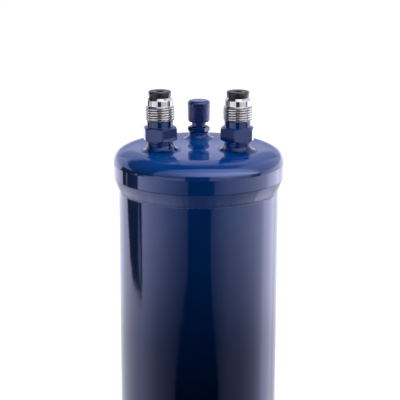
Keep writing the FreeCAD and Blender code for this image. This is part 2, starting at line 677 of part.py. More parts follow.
tube_bore = "Sizes.return_tube / 2 + Sizes.seat_gap"
guide = "Sizes.needle_radius + Sizes.running_fit"
valve_barrel = turned("valve_barrel", [
    (guide, "Places.valve_foot"),
    ("Sizes.valve_radius", "Places.valve_foot"),
    ("Sizes.valve_radius", "Places.valve_top - 1"),
    ("Sizes.valve_radius - 1", "Places.valve_top"),
    (tube_bore, "Places.valve_top"),
    (tube_bore, "Places.seat_foot"),
    ("Sizes.chamber_radius", "Places.seat_foot"),
    ("Sizes.chamber_radius", "Places.chamber_foot"),
    (guide, "Places.chamber_foot"),
], y="Places.return_y")


def cheek(name, x):
    """Flat cheek from the valve body down to the pin, rounded about it."""
    body = doc.addObject("PartDesign::Body", name)
    sketch = new_sketch(body, "YZ_Plane", name + "_outline")
    front = "Places.pivot_y - Sizes.cheek_radius"
    back = "Places.return_y + Sizes.valve_radius / 2"
    outline(sketch, [
        (front, "Places.pivot_height", "Sizes.cheek_radius", 1),
        ("Places.pivot_y", "Places.pivot_height - Sizes.cheek_radius"),
        (back, "Places.valve_foot"),
        (back, "Places.seat_foot"),
        (front, "Places.chamber_foot"),
    ])
    pad = body.newObject("PartDesign::Pad", name + "_pad")
    pad.Profile = sketch
    pad.setExpression("Length", "Sizes.cheek_sheet")
    body.Tip = pad
    return bind(body, Placement_Base_x=x)


cheeks = [cheek("left_cheek", "-Sizes.cheek_inside - Sizes.cheek_sheet"),
          cheek("right_cheek", "Sizes.cheek_inside")]
pin_hole = cylinder("pin_hole", "Sizes.pin_radius", "2 * Sizes.pin_length",
                    "-Sizes.pin_length", "Places.pivot_y", "Places.pivot_height", V(1, 0, 0))
oil_ports = cylinder("oil_ports", "Sizes.chamber_port / 2", "4 * Sizes.valve_radius",
                     "-2 * Sizes.valve_radius", "Places.return_y",
                     "Places.chamber_foot + Sizes.chamber_height / 2", V(1, 0, 0))
valve_bore = cylinder("valve_bore", tube_bore, "Sizes.valve_height", y="Places.return_y",
                      z="Places.seat_foot")
needle_bore = cylinder("needle_bore", guide, "2 * Sizes.valve_height", y="Places.return_y",
                       z="Places.valve_foot - Sizes.valve_height")
valve_body = cut("valve_body", fuse("valve_casting", valve_barrel, *cheeks),
                 fuse("valve_bores", pin_hole, oil_ports, valve_bore, needle_bore))

valve_seat = turned("valve_seat", [
    ("Sizes.seat_bore / 2", "Places.seat_foot"),
    ("Sizes.return_tube / 2", "Places.seat_foot"),
    ("Sizes.return_tube / 2", "Places.seat_top"),
    ("Sizes.return_tube / 2 - Sizes.return_tube_wall", "Places.seat_top"),
    ("Sizes.seat_bore / 2", "Places.seat_top - Sizes.seat_height / 2"),
], y="Places.return_y")

# Needle: its cone closes the orifice, and the fork of the float arm sits in its groove
groove_foot = "Places.pivot_height - Sizes.needle_groove / 2"
groove_top = "Places.pivot_height + Sizes.needle_groove / 2"
valve_needle = turned("valve_needle", [
    ("0", f"{groove_foot} - Sizes.needle_foot"),
    ("Sizes.needle_radius", f"{groove_foot} - Sizes.needle_foot"),
    ("Sizes.needle_radius", groove_foot),
    ("Sizes.needle_neck", groove_foot),
    ("Sizes.needle_neck", groove_top),
    ("Sizes.needle_radius", groove_top),
    ("Sizes.needle_radius", "Places.chamber_foot"),
    ("Sizes.seat_bore / 2 - Sizes.running_fit", "Places.seat_foot"),
    ("Sizes.needle_tip", "Places.seat_foot + 1"),
    ("0", "Places.seat_foot + 1"),
], y="Places.return_y")

pivot_pin = cylinder("pivot_pin", "Sizes.pin_radius - Sizes.seat_gap / 2", "Sizes.pin_length",
                     "-Sizes.pin_length / 2", "Places.pivot_y", "Places.pivot_height", V(1, 0, 0))

# Float arm: a strip with a hub on the pin, a fork at the needle and its end on the ball's stem
half = "Sizes.arm_width / 2"
strip = padded("arm_strip", [
    (f"-{half}", "Places.stem_end"),
    (half, "Places.stem_end"),
    (half, "Places.return_y + Sizes.fork_reach"),
    ("Sizes.fork_slot", "Places.return_y + Sizes.fork_reach"),
    ("Sizes.fork_slot", "Places.return_y - Sizes.needle_radius"),
    ("-Sizes.fork_slot", "Places.return_y - Sizes.needle_radius"),
    ("-Sizes.fork_slot", "Places.return_y + Sizes.fork_reach"),
    (f"-{half}", "Places.return_y + Sizes.fork_reach"),
], "Sizes.arm_sheet", "Places.pivot_height - Sizes.arm_sheet / 2")
hub = cylinder("arm_hub", "Sizes.hub_radius", "Sizes.arm_width", f"-{half}", "Places.pivot_y",
               "Places.pivot_height", V(1, 0, 0))
hub_bore = cylinder("arm_bore", "Sizes.pin_radius + Sizes.running_fit", "2 * Sizes.arm_width",
                    "-Sizes.arm_width", "Places.pivot_y", "Places.pivot_height", V(1, 0, 0))
float_arm = cut("float_arm", fuse("arm_pressing", strip, hub), hub_bore)


def ball(name, radius):
    made = doc.addObject("Part::Sphere", name)
    bind(made, Radius=radius, Placement_Base_y="Places.ball_y")
    return bind(made, Placement_Base_z="Places.pivot_height")


stem = cylinder("ball_stem", "Sizes.ball_stem",
                "Sizes.ball_stem_length + 2 * Sizes.ball_sheet", "0",
                "Places.stem_end - Sizes.ball_stem_length - 2 * Sizes.ball_sheet",
                "Places.pivot_height", V(0, 1, 0))
float_ball = cut("float_ball", fuse("ball_outside", ball("ball_form", "Sizes.ball_radius"), stem),
                 ball("ball_inside", "Sizes.ball_radius - Sizes.ball_sheet"))

magnet = turned("magnet", [
    ("Sizes.boss_radius + Sizes.seat_gap", "Places.magnet_foot"),
    ("Sizes.magnet_radius", "Places.magnet_foot"),
    ("Sizes.magnet_radius", "Places.magnet_foot + Sizes.magnet_height"),
    ("Sizes.boss_radius + Sizes.seat_gap", "Places.magnet_foot + Sizes.magnet_height"),
])

PIECES = [
    shell_tube, top_cap, bottom_cap, upper_girth_weld, lower_girth_weld, mounting_boss, boss_weld,
    *port_pieces, oil_return_fitting, oil_return_weld, oil_return_cap, cap_gasket,
    oil_return_tube, baffle_plate, valve_body, valve_seat, valve_needle, pivot_pin, float_arm,
    float_ball, magnet,
]

doc.recompute()

for thing in doc.Objects:
    if "Invalid" in thing.State or "Error" in thing.State:
        raise RuntimeError(f"{thing.Label} failed: {thing.State}")

os.makedirs("parts", exist_ok=True)
for piece in PIECES:
    shape = piece.Shape
    if shape.isNull() or not shape.isValid() or not shape.Solids:
        raise RuntimeError(f"{piece.Label} has no valid solid")
    shape.exportStep(f"parts/{piece.Label}.step")
    print(f"{piece.Label}: {len(shape.Solids)} solid, {shape.Volume:.0f} mm3")
print(f"{len(PIECES)} pieces")
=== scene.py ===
# %% [markdown]
# An oil separator stands between a compressor and a condenser. Its steel shell is sprayed deep blue,
# the two flare fittings are nickel plated above the paint line, and a small screwed cap closes the
# oil return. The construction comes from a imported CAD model. This lesson gives every piece its
# finish, and it builds what that model leaves plain: the threads, the grain of the screwed cap, the
# weld beads, the moulded plugs and the woven screens.

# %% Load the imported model
import math

import bmesh
import bpy
from mathutils import Matrix, Vector, noise
from mathutils.bvhtree import BVHTree


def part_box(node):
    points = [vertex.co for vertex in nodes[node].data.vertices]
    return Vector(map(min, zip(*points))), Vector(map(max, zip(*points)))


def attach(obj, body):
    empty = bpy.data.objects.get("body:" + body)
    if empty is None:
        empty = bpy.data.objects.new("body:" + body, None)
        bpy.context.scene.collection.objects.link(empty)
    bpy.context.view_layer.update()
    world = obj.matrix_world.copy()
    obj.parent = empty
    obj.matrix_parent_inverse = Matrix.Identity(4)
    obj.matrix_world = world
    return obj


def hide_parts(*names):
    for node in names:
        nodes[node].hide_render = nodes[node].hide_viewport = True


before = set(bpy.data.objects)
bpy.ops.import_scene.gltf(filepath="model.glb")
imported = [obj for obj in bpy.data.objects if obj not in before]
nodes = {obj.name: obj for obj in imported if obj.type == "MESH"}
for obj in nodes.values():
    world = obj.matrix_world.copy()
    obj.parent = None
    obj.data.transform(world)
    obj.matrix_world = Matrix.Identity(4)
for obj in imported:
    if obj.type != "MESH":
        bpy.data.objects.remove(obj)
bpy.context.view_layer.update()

MM = 0.001

# %% [markdown]
# The camera comes first, because everything else is judged through it. A long lens from about
# 0.8 m keeps the sides of the tube nearly parallel. It looks down by 15 degrees and aims at the
# weld below the top cap, so the foot of the vessel falls outside the picture. The camera was not
# quite level, so it rolls by a sixth of a degree.

# %% Camera
camera_rise = math.radians(15)
camera_roll = math.radians(0.153)
camera_distance = 782.4 * MM
aim = Vector((0.93, 0, 198.3)) * MM


def in_scene(name, data):
    """A new object in the scene, made from a mesh, a lamp or a camera."""
    made = bpy.data.objects.new(name, data)
    bpy.context.scene.collection.objects.link(made)
    return made


camera_data = bpy.data.cameras.new("camera")
camera_data.lens = 104.22
camera_data.sensor_width = 36
camera_data.clip_start = 0.05
camera_data.clip_end = 50
camera = in_scene("camera", camera_data)
to_camera = Vector((0, -math.cos(camera_rise), math.sin(camera_rise)))
camera.location = aim + to_camera * camera_distance
turned_to_aim = (-to_camera).to_track_quat("-Z", "Y").to_matrix()
camera.rotation_euler = (turned_to_aim @ Matrix.Rotation(camera_roll, 3, "Z")).to_euler()
bpy.context.scene.camera = camera
print("camera at", [round(v, 3) for v in camera.location])

# %% [markdown]
# Node trees are written in a few helpers. One adds a node and sets it up, one does arithmetic with
# sockets or plain numbers, and one spreads a value over a new range.

# %% Helpers for node trees
def plug_in(tree, value, target):
    """Links an output socket to an input, or sets the input's own value."""
    if isinstance(value, bpy.types.NodeSocket):
        tree.links.new(value, target)
    else:
        target.default_value = value


def add(tree, kind, sockets=None, **settings):
    """A new node with its settings; sockets maps an input's name or number to a value or a link."""
    node = tree.nodes.new(kind)
    for name, value in settings.items():
        setattr(node, name, value)
    for name, value in (sockets or {}).items():
        plug_in(tree, value, node.inputs[name])
    return node


def output(tree, kind, sockets=None, **settings):
    """The first output of a new node."""
    return add(tree, kind, sockets, **settings).outputs[0]


def calc(tree, operation, *values):
    """One math node, as in calc(tree, "ADD", a, 2)."""
    return output(tree, "ShaderNodeMath", dict(enumerate(values)), operation=operation)


def times(tree, product, *factors):
    """Several values multiplied."""
    for factor in factors:
        product = calc(tree, "MULTIPLY", product, factor)
    return product


def spread(tree, value, low, high, first=0.0, last=1.0, smooth=True):
    """Takes value from low..high to first..last and holds it there at both ends."""
    return output(tree, "ShaderNodeMapRange", dict(enumerate((value, low, high, first, last))),
                  interpolation_type="SMOOTHSTEP" if smooth else "LINEAR")


def blend(tree, share, first, second):
    """A number between two numbers: first where share is 0, second where it is 1."""
    return output(tree, "ShaderNodeMix", {0: share, 2: first, 3: second})


def blend_colour(tree, share, first, second):
    """A colour between two colours."""
    return add(tree, "ShaderNodeMix", {0: share, 6: first, 7: second}, data_type="RGBA").outputs[2]


def socket(tree, name, kind, value=None, side="INPUT"):
    """A named socket of a node group."""
    made = tree.interface.new_socket(name=name, in_out=side, socket_type="NodeSocket" + kind)
    if value is not None:
        made.default_value = value


print("helpers for nodes: add, output, calc, times, spread, blend, blend_colour, socket")

# %% [markdown]
# The photograph was taken in a light tent: white walls that get brighter to the sides, a dark slit
# in front where the camera looks in, a dark opening to the left and strips of lamps over the
# front. A glossy tube shows such a tent as vertical stripes, so the tent is held as brightness over
# direction. Rows of stops give it round the horizon. The fittings mirror the first row, with a dark
# bar on each side, the shell the second, its lower part the third, where the tent gets darker, and
# the weld that faces down sees the table. The slit and the left opening are given by their two
# edges, which shift with the height, and a paler curtain hangs in the opening.

# %% Light tent
tent_high = [
    # azimuth from the front in degrees, left negative; brightness
    (-180, 1.7), (-90, 1.7), (-87, 0.15), (-78, 0.35), (-75, 1.6), (-60, 1.5), (-17.5, 1.2),
    (14.5, 1.1), (18, 0.9), (34, 0.95), (38, 1.25), (43, 1.25), (48, 1.05), (70, 1.2), (76, 0.4),
    (88, 0.3), (92, 1.7), (108, 2.0), (114, 2.2), (180, 1.9),
]
tent_middle = [
    (-180, 1.5), (-150, 1.75), (-122, 1.75), (-90, 2.0), (-81, 1.9), (-59, 1.35), (-40, 0.75),
    (-15.6, 0.25), (18, 0.25), (43, 0.9), (63, 1.25), (85, 1.75), (102, 2.15), (108, 2.9), (134, 2.9),
    (140, 2.0), (180, 1.5),
]
tent_low = [
    (-180, 1.2), (-150, 1.5), (-122, 1.5), (-96, 1.3), (-90, 1.3), (-81, 1.1), (-59, 0.55),
    (-40, 0.28), (-27, 0.1), (24, 0.1), (43, 0.4), (63, 0.55), (85, 0.95), (102, 1.6), (108, 2.3),
    (134, 2.3), (140, 1.7), (180, 1.2),
]
tent_table = [
    (-180, 1.5), (-150, 1.7), (-92, 1.7), (-81, 1.6), (-59, 1.3), (-40, 0.95), (-25, 0.5),
    (-12, 0.24), (14, 0.24), (28, 0.4), (43, 0.6), (63, 0.8), (85, 1.2), (102, 1.7), (108, 2.4),
    (130, 2.4), (136, 1.7), (180, 1.5),
]
wall_level = [
    # how far a ray points up; how bright the walls are there
    (-0.42, 0.8), (-0.366, 0.87), (-0.35, 0.97), (-0.334, 1.04), (-0.28, 1.1), (-0.262, 1.12),
    (-0.25, 1.25), (-0.235, 1.25), (-0.215, 1.0),
]
slit = [
    # how far a ray points up; azimuths of the left and the right edge
    (-0.41, -34, 30), (-0.366, -26, 23), (-0.32, -14.9, 17.2), (-0.262, -14.9, 17.2),
    (-0.253, -13.4, 21.2), (-0.222, -13.4, 21.2), (-0.214, -17.5, 14.5), (0.1, -17.5, 14.5),
]
left_opening = [
    (-0.345, -86, -90), (-0.34, -89, -90), (-0.337, -95, -90), (-0.331, -104, -89), (-0.325, -110, -88),
    (-0.304, -117, -88), (-0.259, -122, -88), (-0.225, -122, -88), (-0.21, -130, -104),
    (-0.165, -130, -104), (-0.155, -124, -92), (-0.06, -121, -90), (-0.03, -121, -62), (0.14, -121, -60),
]
curtain = [
    (-0.345, -90, -91), (-0.33, -90, -91), (-0.325, -94.5, -90), (-0.304, -97, -90), (-0.29, -96, -92),
    (-0.258, -95, -93.5), (-0.252, -113.5, -110), (-0.2, -113.5, -110), (-0.19, -112, -113),
    (0.1, -112, -113),
]
tent_roof = [
    # angle over the top in degrees, from the back horizon to the front horizon; brightness
    (0, 0.85), (16.5, 0.85), (19.5, 0.58), (40, 0.8), (56, 0.85), (65, 0.12), (86, 0.12), (95, 1.5),
    (108, 1.9), (114, 1.1), (124, 2.6), (150, 2.4), (168, 0.6), (180, 0.4),
]
side_roof = 1.2
opening_dark = 0.97
curtain_pale = 0.3
low_light = 0.03
brightest = 3
front_colour = (0.99, 0.965, 1.08, 1)
back_colour = (0.98, 1.0, 1.3, 1)
# How far up a ray points where one part of the tent passes into the next
table_to_walls = (-0.55, -0.42)
low_to_middle = (-0.375, -0.285)
middle_to_high = (-0.235, -0.215)
walls_to_roof = (0.02, 0.14)
rows_round = (tent_high, tent_middle, tent_low, tent_table)
print("tent of", sum(len(stops) for stops in rows_round + (tent_roof,)), "stops")

# %% [markdown]
# The world's nodes follow those rows. A ramp turns one row into brightness, and an opening is the
# mask between two edges, each a ramp of its own. A ray's direction comes as three numbers: how far
# it points to the east, to the north, which is away from the camera, and up.

# %% Walls of the tent
world = bpy.data.worlds.new("tent")
bpy.context.scene.world = world
world.use_nodes = True
sky = world.node_tree
sky.nodes.clear()
direction = add(sky, "ShaderNodeTexCoord").outputs["Generated"]
east, north, up = add(sky, "ShaderNodeSeparateXYZ", {0: direction}).outputs
front = times(sky, north, -1)
azimuth = calc(sky, "DEGREES", calc(sky, "ARCTAN2", east, front))


def ramp(value, stops, top=brightest):
    """A colour ramp from the first stop to the last, whose greys stand for 0 to top."""
    low, high = stops[0][0], stops[-1][0]
    node = add(sky, "ShaderNodeValToRGB", {"Fac": spread(sky, value, low, high, smooth=False)})
    points = node.color_ramp.elements
    while len(points) > 1:
        points.remove(points[-1])
    for number, (place, level) in enumerate(stops):
        position = (place - low) / (high - low)
        point = points[0] if number == 0 else points.new(position)
        point.position = position
        point.color = (level / top, level / top, level / top, 1)
    return times(sky, node.outputs["Color"], top)


def opening(edges, soft):
    """Mask of a dark opening, 1 between two edges that follow how far a ray points up."""
    left, right = (ramp(up, [(row[0], row[side] + 180) for row in edges], 360) for side in (1, 2))
    turned_on = calc(sky, "ADD", azimuth, 180)
    inside_left = spread(sky, calc(sky, "SUBTRACT", turned_on, left), -soft, soft)
    return times(sky, inside_left, spread(sky, calc(sky, "SUBTRACT", right, turned_on), -soft, soft))


def darkened(light, mask, share=1.0):
    """Takes a share of the light away where a mask is 1."""
    return times(sky, light, calc(sky, "MULTIPLY_ADD", mask, -share, 1))


walls_high, walls_middle, walls_low, table = (ramp(azimuth, stops) for stops in rows_round)
walls = blend(sky, spread(sky, up, *low_to_middle, smooth=False), walls_low, walls_middle)
walls = times(sky, walls, ramp(up, wall_level))
walls = blend(sky, spread(sky, up, *middle_to_high), walls, walls_high)
front_slit = opening(slit, 0.8)
slit_dark = times(sky, front_slit, spread(sky, up, -0.235, -0.2, 1.0, 0.95))
curtained = calc(sky, "MULTIPLY_ADD", opening(curtain, 1.0), -curtain_pale, opening_dark)
window_dark = times(sky, opening(left_opening, 1.5), curtained)
walls = darkened(walls, calc(sky, "MAXIMUM", slit_dark, window_dark))
walls = blend(sky, spread(sky, up, *table_to_walls), table, walls)
print(len(sky.nodes), "nodes for the walls")

# %% [markdown]
# The roof's brightness follows the angle over the top, and it grows to the right. The slit runs up
# into it, its upper left corner is dark, and so is a patch low behind. Only mirrored rays get this
# tent. Camera rays see plain white, and diffuse rays an even, low light.

# %% Roof and rays
over = calc(sky, "DEGREES", calc(sky, "ARCTAN2", up, north))
to_the_side = calc(sky, "ABSOLUTE", east)
beside = times(sky, spread(sky, to_the_side, 0.35, 0.55), side_roof)
roof = calc(sky, "MAXIMUM", ramp(over, tent_roof), beside)
to_right = spread(sky, east, -0.65, 0.6, 0.35, 1.7, smooth=False)
roof = times(sky, roof, blend(sky, spread(sky, front, -0.05, 0.2), 1, to_right))
left_corner = times(sky, spread(sky, azimuth, -170, -162), spread(sky, azimuth, -60, -66),
                    spread(sky, over, 36, 46), spread(sky, up, 0.0, 0.08))
roof = darkened(roof, left_corner, 0.93)
roof = darkened(roof, times(sky, front_slit, spread(sky, up, 0.42, 0.3)))
tent = blend(sky, spread(sky, up, *walls_to_roof), walls, roof)
behind = times(sky, spread(sky, north, 0.45, 0.7), spread(sky, up, -0.16, -0.1),
               spread(sky, up, 0.25, 0.15), spread(sky, to_the_side, 0.35, 0.15))
tent = darkened(tent, behind, 0.45)

bluish = times(sky, spread(sky, north, -0.1, 0.6), spread(sky, up, -0.15, 0.1, 0.25, 1.0))
tint = blend_colour(sky, bluish, front_colour, back_colour)
pure_white = (1, 1, 1, 1)
mirrored = output(sky, "ShaderNodeBackground", {"Color": tint, "Strength": tent})
even = output(sky, "ShaderNodeBackground", {"Color": pure_white, "Strength": low_light})
white = output(sky, "ShaderNodeBackground", {"Color": pure_white, "Strength": 1.0})
path = add(sky, "ShaderNodeLightPath").outputs
lit = output(sky, "ShaderNodeMixShader", {0: path["Is Glossy Ray"], 1: even, 2: mirrored})
seen = output(sky, "ShaderNodeMixShader", {0: path["Is Camera Ray"], 1: lit, 2: white})
add(sky, "ShaderNodeOutputWorld", {"Surface": seen})
print(len(sky.nodes), "nodes in the world")

# %% [markdown]
# The matt colour of the paint needs light of its own. One soft lamp high above lights the lid and
# all that points up. Two weak lamps, one in front and one behind, are aimed at the weld below the
# lid, and their narrow beams fade down the tube, so the paint gets darker towards the table. Shiny
# surfaces see the tent instead, so no bright square shows in them.

# %% Lamps
lamp_aim = Vector((0, 0, 0.213))
lamps = (
    # name, direction from the aim, distance, size, watts, spread of the beam in degrees
    ("top_lamp", Vector((0, 0, 1)), 0.85, 0.30, 6.1, 180),
    ("front_lamp", to_camera, 0.5, 0.06, 0.021, 33),
    ("back_lamp", Vector((0, -to_camera.y, to_camera.z)), 0.5, 0.06, 0.021, 33),
)
for name, side_of_aim, distance, size, watts, beam in lamps:
    lamp_data = bpy.data.lights.new(name, "AREA")
    lamp_data.shape = "SQUARE"
    lamp_data.size = size
    lamp_data.energy = watts
    lamp_data.spread = math.radians(beam)
    lamp = in_scene(name, lamp_data)
    lamp.location = lamp_aim + side_of_aim * distance
    lamp.rotation_euler = (-side_of_aim).to_track_quat("-Z", "Y").to_euler()
    lamp.visible_glossy = False
    lamp.visible_camera = False
print("lamps:", [name for name, *_ in lamps])

# %% [markdown]
# The floor is white to the camera, so it can't be told from the background, but it keeps a faint
# shadow round the foot. It glows for camera rays only and lights nothing.

# %% Floor
reach = 6.0
corners = [(-reach, -reach, 0), (reach, -reach, 0), (reach, reach, 0), (-reach, reach, 0)]
floor_mesh = bpy.data.meshes.new("floor")
floor_mesh.from_pydata(corners, [], [(0, 1, 2, 3)])
floor = in_scene("floor", floor_mesh)
floor.visible_glossy = False
floor.visible_diffuse = False

floor_look = bpy.data.materials.new("pale_floor")
floor_look.use_nodes = True
tree = floor_look.node_tree
tree.nodes.clear()
place = add(tree, "ShaderNodeTexCoord").outputs["Object"]
distance = add(tree, "ShaderNodeVectorMath", {0: place}, operation="LENGTH").outputs["Value"]
glow = spread(tree, distance, 0.08, 0.6, 0.55, 1.0)
glow = times(tree, glow, add(tree, "ShaderNodeLightPath").outputs["Is Camera Ray"])
paper = output(tree, "ShaderNodeBsdfDiffuse", {"Color": (0.9, 0.9, 0.9, 1)})
shine = output(tree, "ShaderNodeEmission", {"Color": pure_white, "Strength": glow})
both = output(tree, "ShaderNodeAddShader", {0: paper, 1: shine})
add(tree, "ShaderNodeOutputMaterial", {"Surface": both})
floor_mesh.materials.append(floor_look)

bpy.context.scene.view_settings.view_transform = "Standard"
print("floor", 2 * reach, "m wide")

# %% [markdown]
# Finishes come next, because the pieces name them as they are made. Effects that several finishes
# share are shader node groups with named inputs. A group gives out only masks, colours and
# heights, and the Principled shader stays in the material, so each finish reads like a recipe.

# %% Shared effects
def group(name, outputs, **inputs):
    """An empty shader group. inputs maps a name, with _ for a space, to a start value."""
    tree = bpy.data.node_groups.new(name, "ShaderNodeTree")
    for title in outputs:
        socket(tree, title, "Color" if title == "Colour" else "Float", side="OUTPUT")
    for title, value in inputs.items():
        kind = "Color" if isinstance(value, tuple) else "Float"
        socket(tree, title.replace("_", " "), kind, value)
    return tree, add(tree, "NodeGroupInput").outputs, add(tree, "ShaderNodeTexCoord").outputs["Object"]


def grain(tree, place, scale, detail=2.0, stretch=None):
    """Noise of a scale in waves per metre, stretched by a share of that scale on each axis."""
    if stretch is not None:
        place = output(tree, "ShaderNodeVectorMath", {0: place, 1: stretch}, operation="MULTIPLY")
    return output(tree, "ShaderNodeTexNoise", {"Vector": place, "Scale": scale, "Detail": detail})


def use(tree, effect, **values):
    """Places a shared effect in a material with its own values."""
    node = add(tree, "ShaderNodeGroup", node_tree=effect)
    for title, value in values.items():
        plug_in(tree, value, node.inputs[title.replace("_", " ")])
    return node.outputs


# Sprayed paint dries with long low waves and a finer skin on them
orange_peel, given, place = group("orange_peel", ["Height"], Waves=90.0, Skin=600.0, Skin_share=0.25)
waves = grain(orange_peel, place, given["Waves"], 1.0)
skin = grain(orange_peel, place, given["Skin"], 2.0)
add(orange_peel, "NodeGroupOutput", {"Height": blend(orange_peel, given["Skin share"], waves, skin)})

# Patches of two colours that run into each other
patchy, given, place = group("patchy_colour", ["Colour", "Patch"], First=(0, 0, 0, 1), Second=(1, 1, 1, 1),
                             Scale=60.0, Low=0.35, High=0.65)
patch = spread(patchy, grain(patchy, place, given["Scale"], 3.0), given["Low"], given["High"])
add(patchy, "NodeGroupOutput", {"Colour": blend_colour(patchy, patch, given["First"], given["Second"]),
                                "Patch": patch})

# A lathe tool leaves fine rings, each a little different
turning, given, place = group("turned_rings", ["Height"], Rings=4000.0)
rings = grain(turning, place, given["Rings"], 1.0, stretch=(0.004, 0.004, 1.0))
add(turning, "NodeGroupOutput", {"Height": rings})

print("shared effects:", [tree.name for tree in bpy.data.node_groups])

# %% [markdown]
# The blue enamel is almost black at its deepest and lilac where it mirrors white, so its gloss is
# tinted. The tint and the strength of the gloss are set on the shader's own sockets, because they
# are the same all over. What changes over the surface is small: a little more or less pigment, and
# the orange peel that makes straight reflections waver.

# %% Blue enamel
enamel_gloss = {"IOR": 1.5, "Specular_Tint": (0.53, 0.6, 1.0, 1)}
enamel_thin = (0.0006, 0.050, 0.25)
enamel_thick = (0.0005, 0.041, 0.215)


def finish(name, **settings):
    """A new material with its Principled shader set; returns the material, its tree and the shader."""
    made = bpy.data.materials.new(name)
    made.use_nodes = True
    shader = made.node_tree.nodes["Principled BSDF"]
    for title, value in settings.items():
        shader.inputs[title.replace("_", " ")].default_value = value
    return made, made.node_tree, shader


def feed(tree, shader, height, depth, **values):
    """Links values to the shader's sockets, and bumps of a depth in metres to its normal."""
    values["Normal"] = output(tree, "ShaderNodeBump", {"Height": height, "Distance": depth, "Strength": 1.0})
    for title, value in values.items():
        plug_in(tree, value, shader.inputs[title.replace("_", " ")])


def enamel(name, waves, peel, roughness, depth=1.0, gloss=0.94):
    """Blue enamel with waves per metre, a height of orange peel and a share of the full colour; a share
    below 1 is painted shade.
    """
    made, tree, shader = finish(name, Roughness=roughness, Specular_IOR_Level=gloss, **enamel_gloss)
    thick, thin = (tuple(part * depth for part in colour) + (1,) for colour in (enamel_thick, enamel_thin))
    colour = use(tree, patchy, First=thick, Second=thin, Scale=45.0, Low=0.3, High=0.7)
    height = use(tree, orange_peel, Waves=waves, Skin=waves * 7, Skin_share=0.2)["Height"]
    feed(tree, shader, height, peel, Base_Color=colour["Colour"])
    return made


blue_enamel = enamel("blue_enamel", 90.0, 0.00004, 0.065)
# Painted shade: the fittings' enamel is the same paint at three quarters of its colour, because the lamps
# light them more than the tube
blue_fitting_shaded = enamel("blue_fitting_shaded", 260.0, 0.00003, 0.06, 0.75)
blue_weld = enamel("blue_weld", 260.0, 0.00002, 0.06)
# Painted shade: the beads at the foot of the fittings get a darker enamel with less than half the gloss, for
# the shade of the hexagons above them
blue_weld_shaded = enamel("blue_weld_shaded", 260.0, 0.00002, 0.06, 0.9, 0.42)
# Painted shade: the screwed cap's enamel is darkened to half its colour; its greater roughness and deeper
# grain are its own
blue_grain_shaded = enamel("blue_grain_shaded", 1000.0, 0.00022, 0.14, 0.5)
enamels = (blue_enamel, blue_fitting_shaded, blue_weld, blue_weld_shaded, blue_grain_shaded)
print("enamels:", [look.name for look in enamels])

# %% [markdown]
# The flare fittings were masked up to the thread before spraying, so the hexagon and the neck are
# blue and everything above is bare nickel plate. The roots of the thread are darker and browner: partly
# tarnish from oil and dust, partly painted shade in the grooves. An attribute marks them when the thread
# is cut. The two finishes meet in a ragged line, so each face of the mesh takes one or the other by its
# height and a little noise.

# %% Nickel plate and the paint line
nickel_bright = (0.52, 0.515, 0.51, 1)
nickel_dull = (0.42, 0.41, 0.40, 1)
# Brown of the thread roots: tarnish and painted shade in one colour
tarnish_and_shade = (0.13, 0.115, 0.105, 1)

nickel, tree, shader = finish("nickel_plate", Metallic=1.0)
plated = use(tree, patchy, First=nickel_dull, Second=nickel_bright, Scale=420.0, Low=0.3, High=0.5)
root = add(tree, "ShaderNodeAttribute", attribute_name="root").outputs["Fac"]
specks = spread(tree, grain(tree, add(tree, "ShaderNodeTexCoord").outputs["Object"], 700.0), 0.42, 0.6)
# Darker thread roots: partly tarnish, partly painted shade where the grooves lie in shadow
root_tarnish_and_shade = times(tree, spread(tree, root, 0.3, 1.0), blend(tree, specks, 0.25, 0.85))
feed(tree, shader, use(tree, turning, Rings=5200.0)["Height"], 0.000003,
     Base_Color=blend_colour(tree, root_tarnish_and_shade, plated["Colour"], tarnish_and_shade),
     Roughness=blend(tree, root, blend(tree, plated["Patch"], 0.14, 0.08), 0.26))


def dress(mesh, *looks):
    """Gives a mesh its finishes, one slot each."""
    mesh.materials.clear()
    for look in looks:
        mesh.materials.append(look)


def paint_below(mesh, height, ragged, seed):
    """Gives the faces below a height in millimetres the enamel, in a ragged line, and the rest nickel."""
    dress(mesh, nickel, blue_fitting_shaded)
    shift = Vector((0, 0, seed))
    for face in mesh.polygons:
        spot = face.center / MM
        line = height + ragged * (noise.noise(spot * 0.55 + shift) + 0.5 * noise.noise(spot * 1.7 + shift))
        face.material_index = 1 if spot.z < line else 0


print("plate:", nickel.name, "with", len(nickel.node_tree.nodes), "nodes")

# %% [markdown]
# The hidden metals and the plastic get their own finishes too: black moulded plastic for the plugs,
# bright drawn steel inside, spun steel for the float, copper, brass and a dark sintered ferrite.

# %% Plastic and bare metals
def patched(name, first, second, rough, scale, effect, bumps, depth, **settings):
    """A finish in patches of two colours and two roughnesses, raised by a shared effect."""
    made, tree, shader = finish(name, **settings)
    patches = use(tree, patchy, First=first, Second=second, Scale=scale)
    feed(tree, shader, use(tree, effect, **bumps)["Height"], depth, Base_Color=patches["Colour"],
         Roughness=blend(tree, patches["Patch"], *rough))
    return made


def metal(name, first, second, roughness, depth=0.000012, scale=120.0):
    """A turned or drawn metal between two colours."""
    return patched(name, first, second, (roughness, roughness * 1.6), scale, turning,
                   {"Rings": 2500.0}, depth, Metallic=1.0)


black_plastic = patched("black_plastic", (0.013, 0.012, 0.014, 1), (0.022, 0.021, 0.024, 1), (0.24, 0.36),
                        220.0, orange_peel, {"Waves": 1500.0, "Skin": 6000.0}, 0.000003, IOR=1.49)
ferrite = patched("ferrite", (0.03, 0.03, 0.032, 1), (0.06, 0.058, 0.056, 1), (0.45, 0.65),
                  900.0, orange_peel, {"Waves": 2500.0, "Skin": 9000.0}, 0.00003, Metallic=0.25)

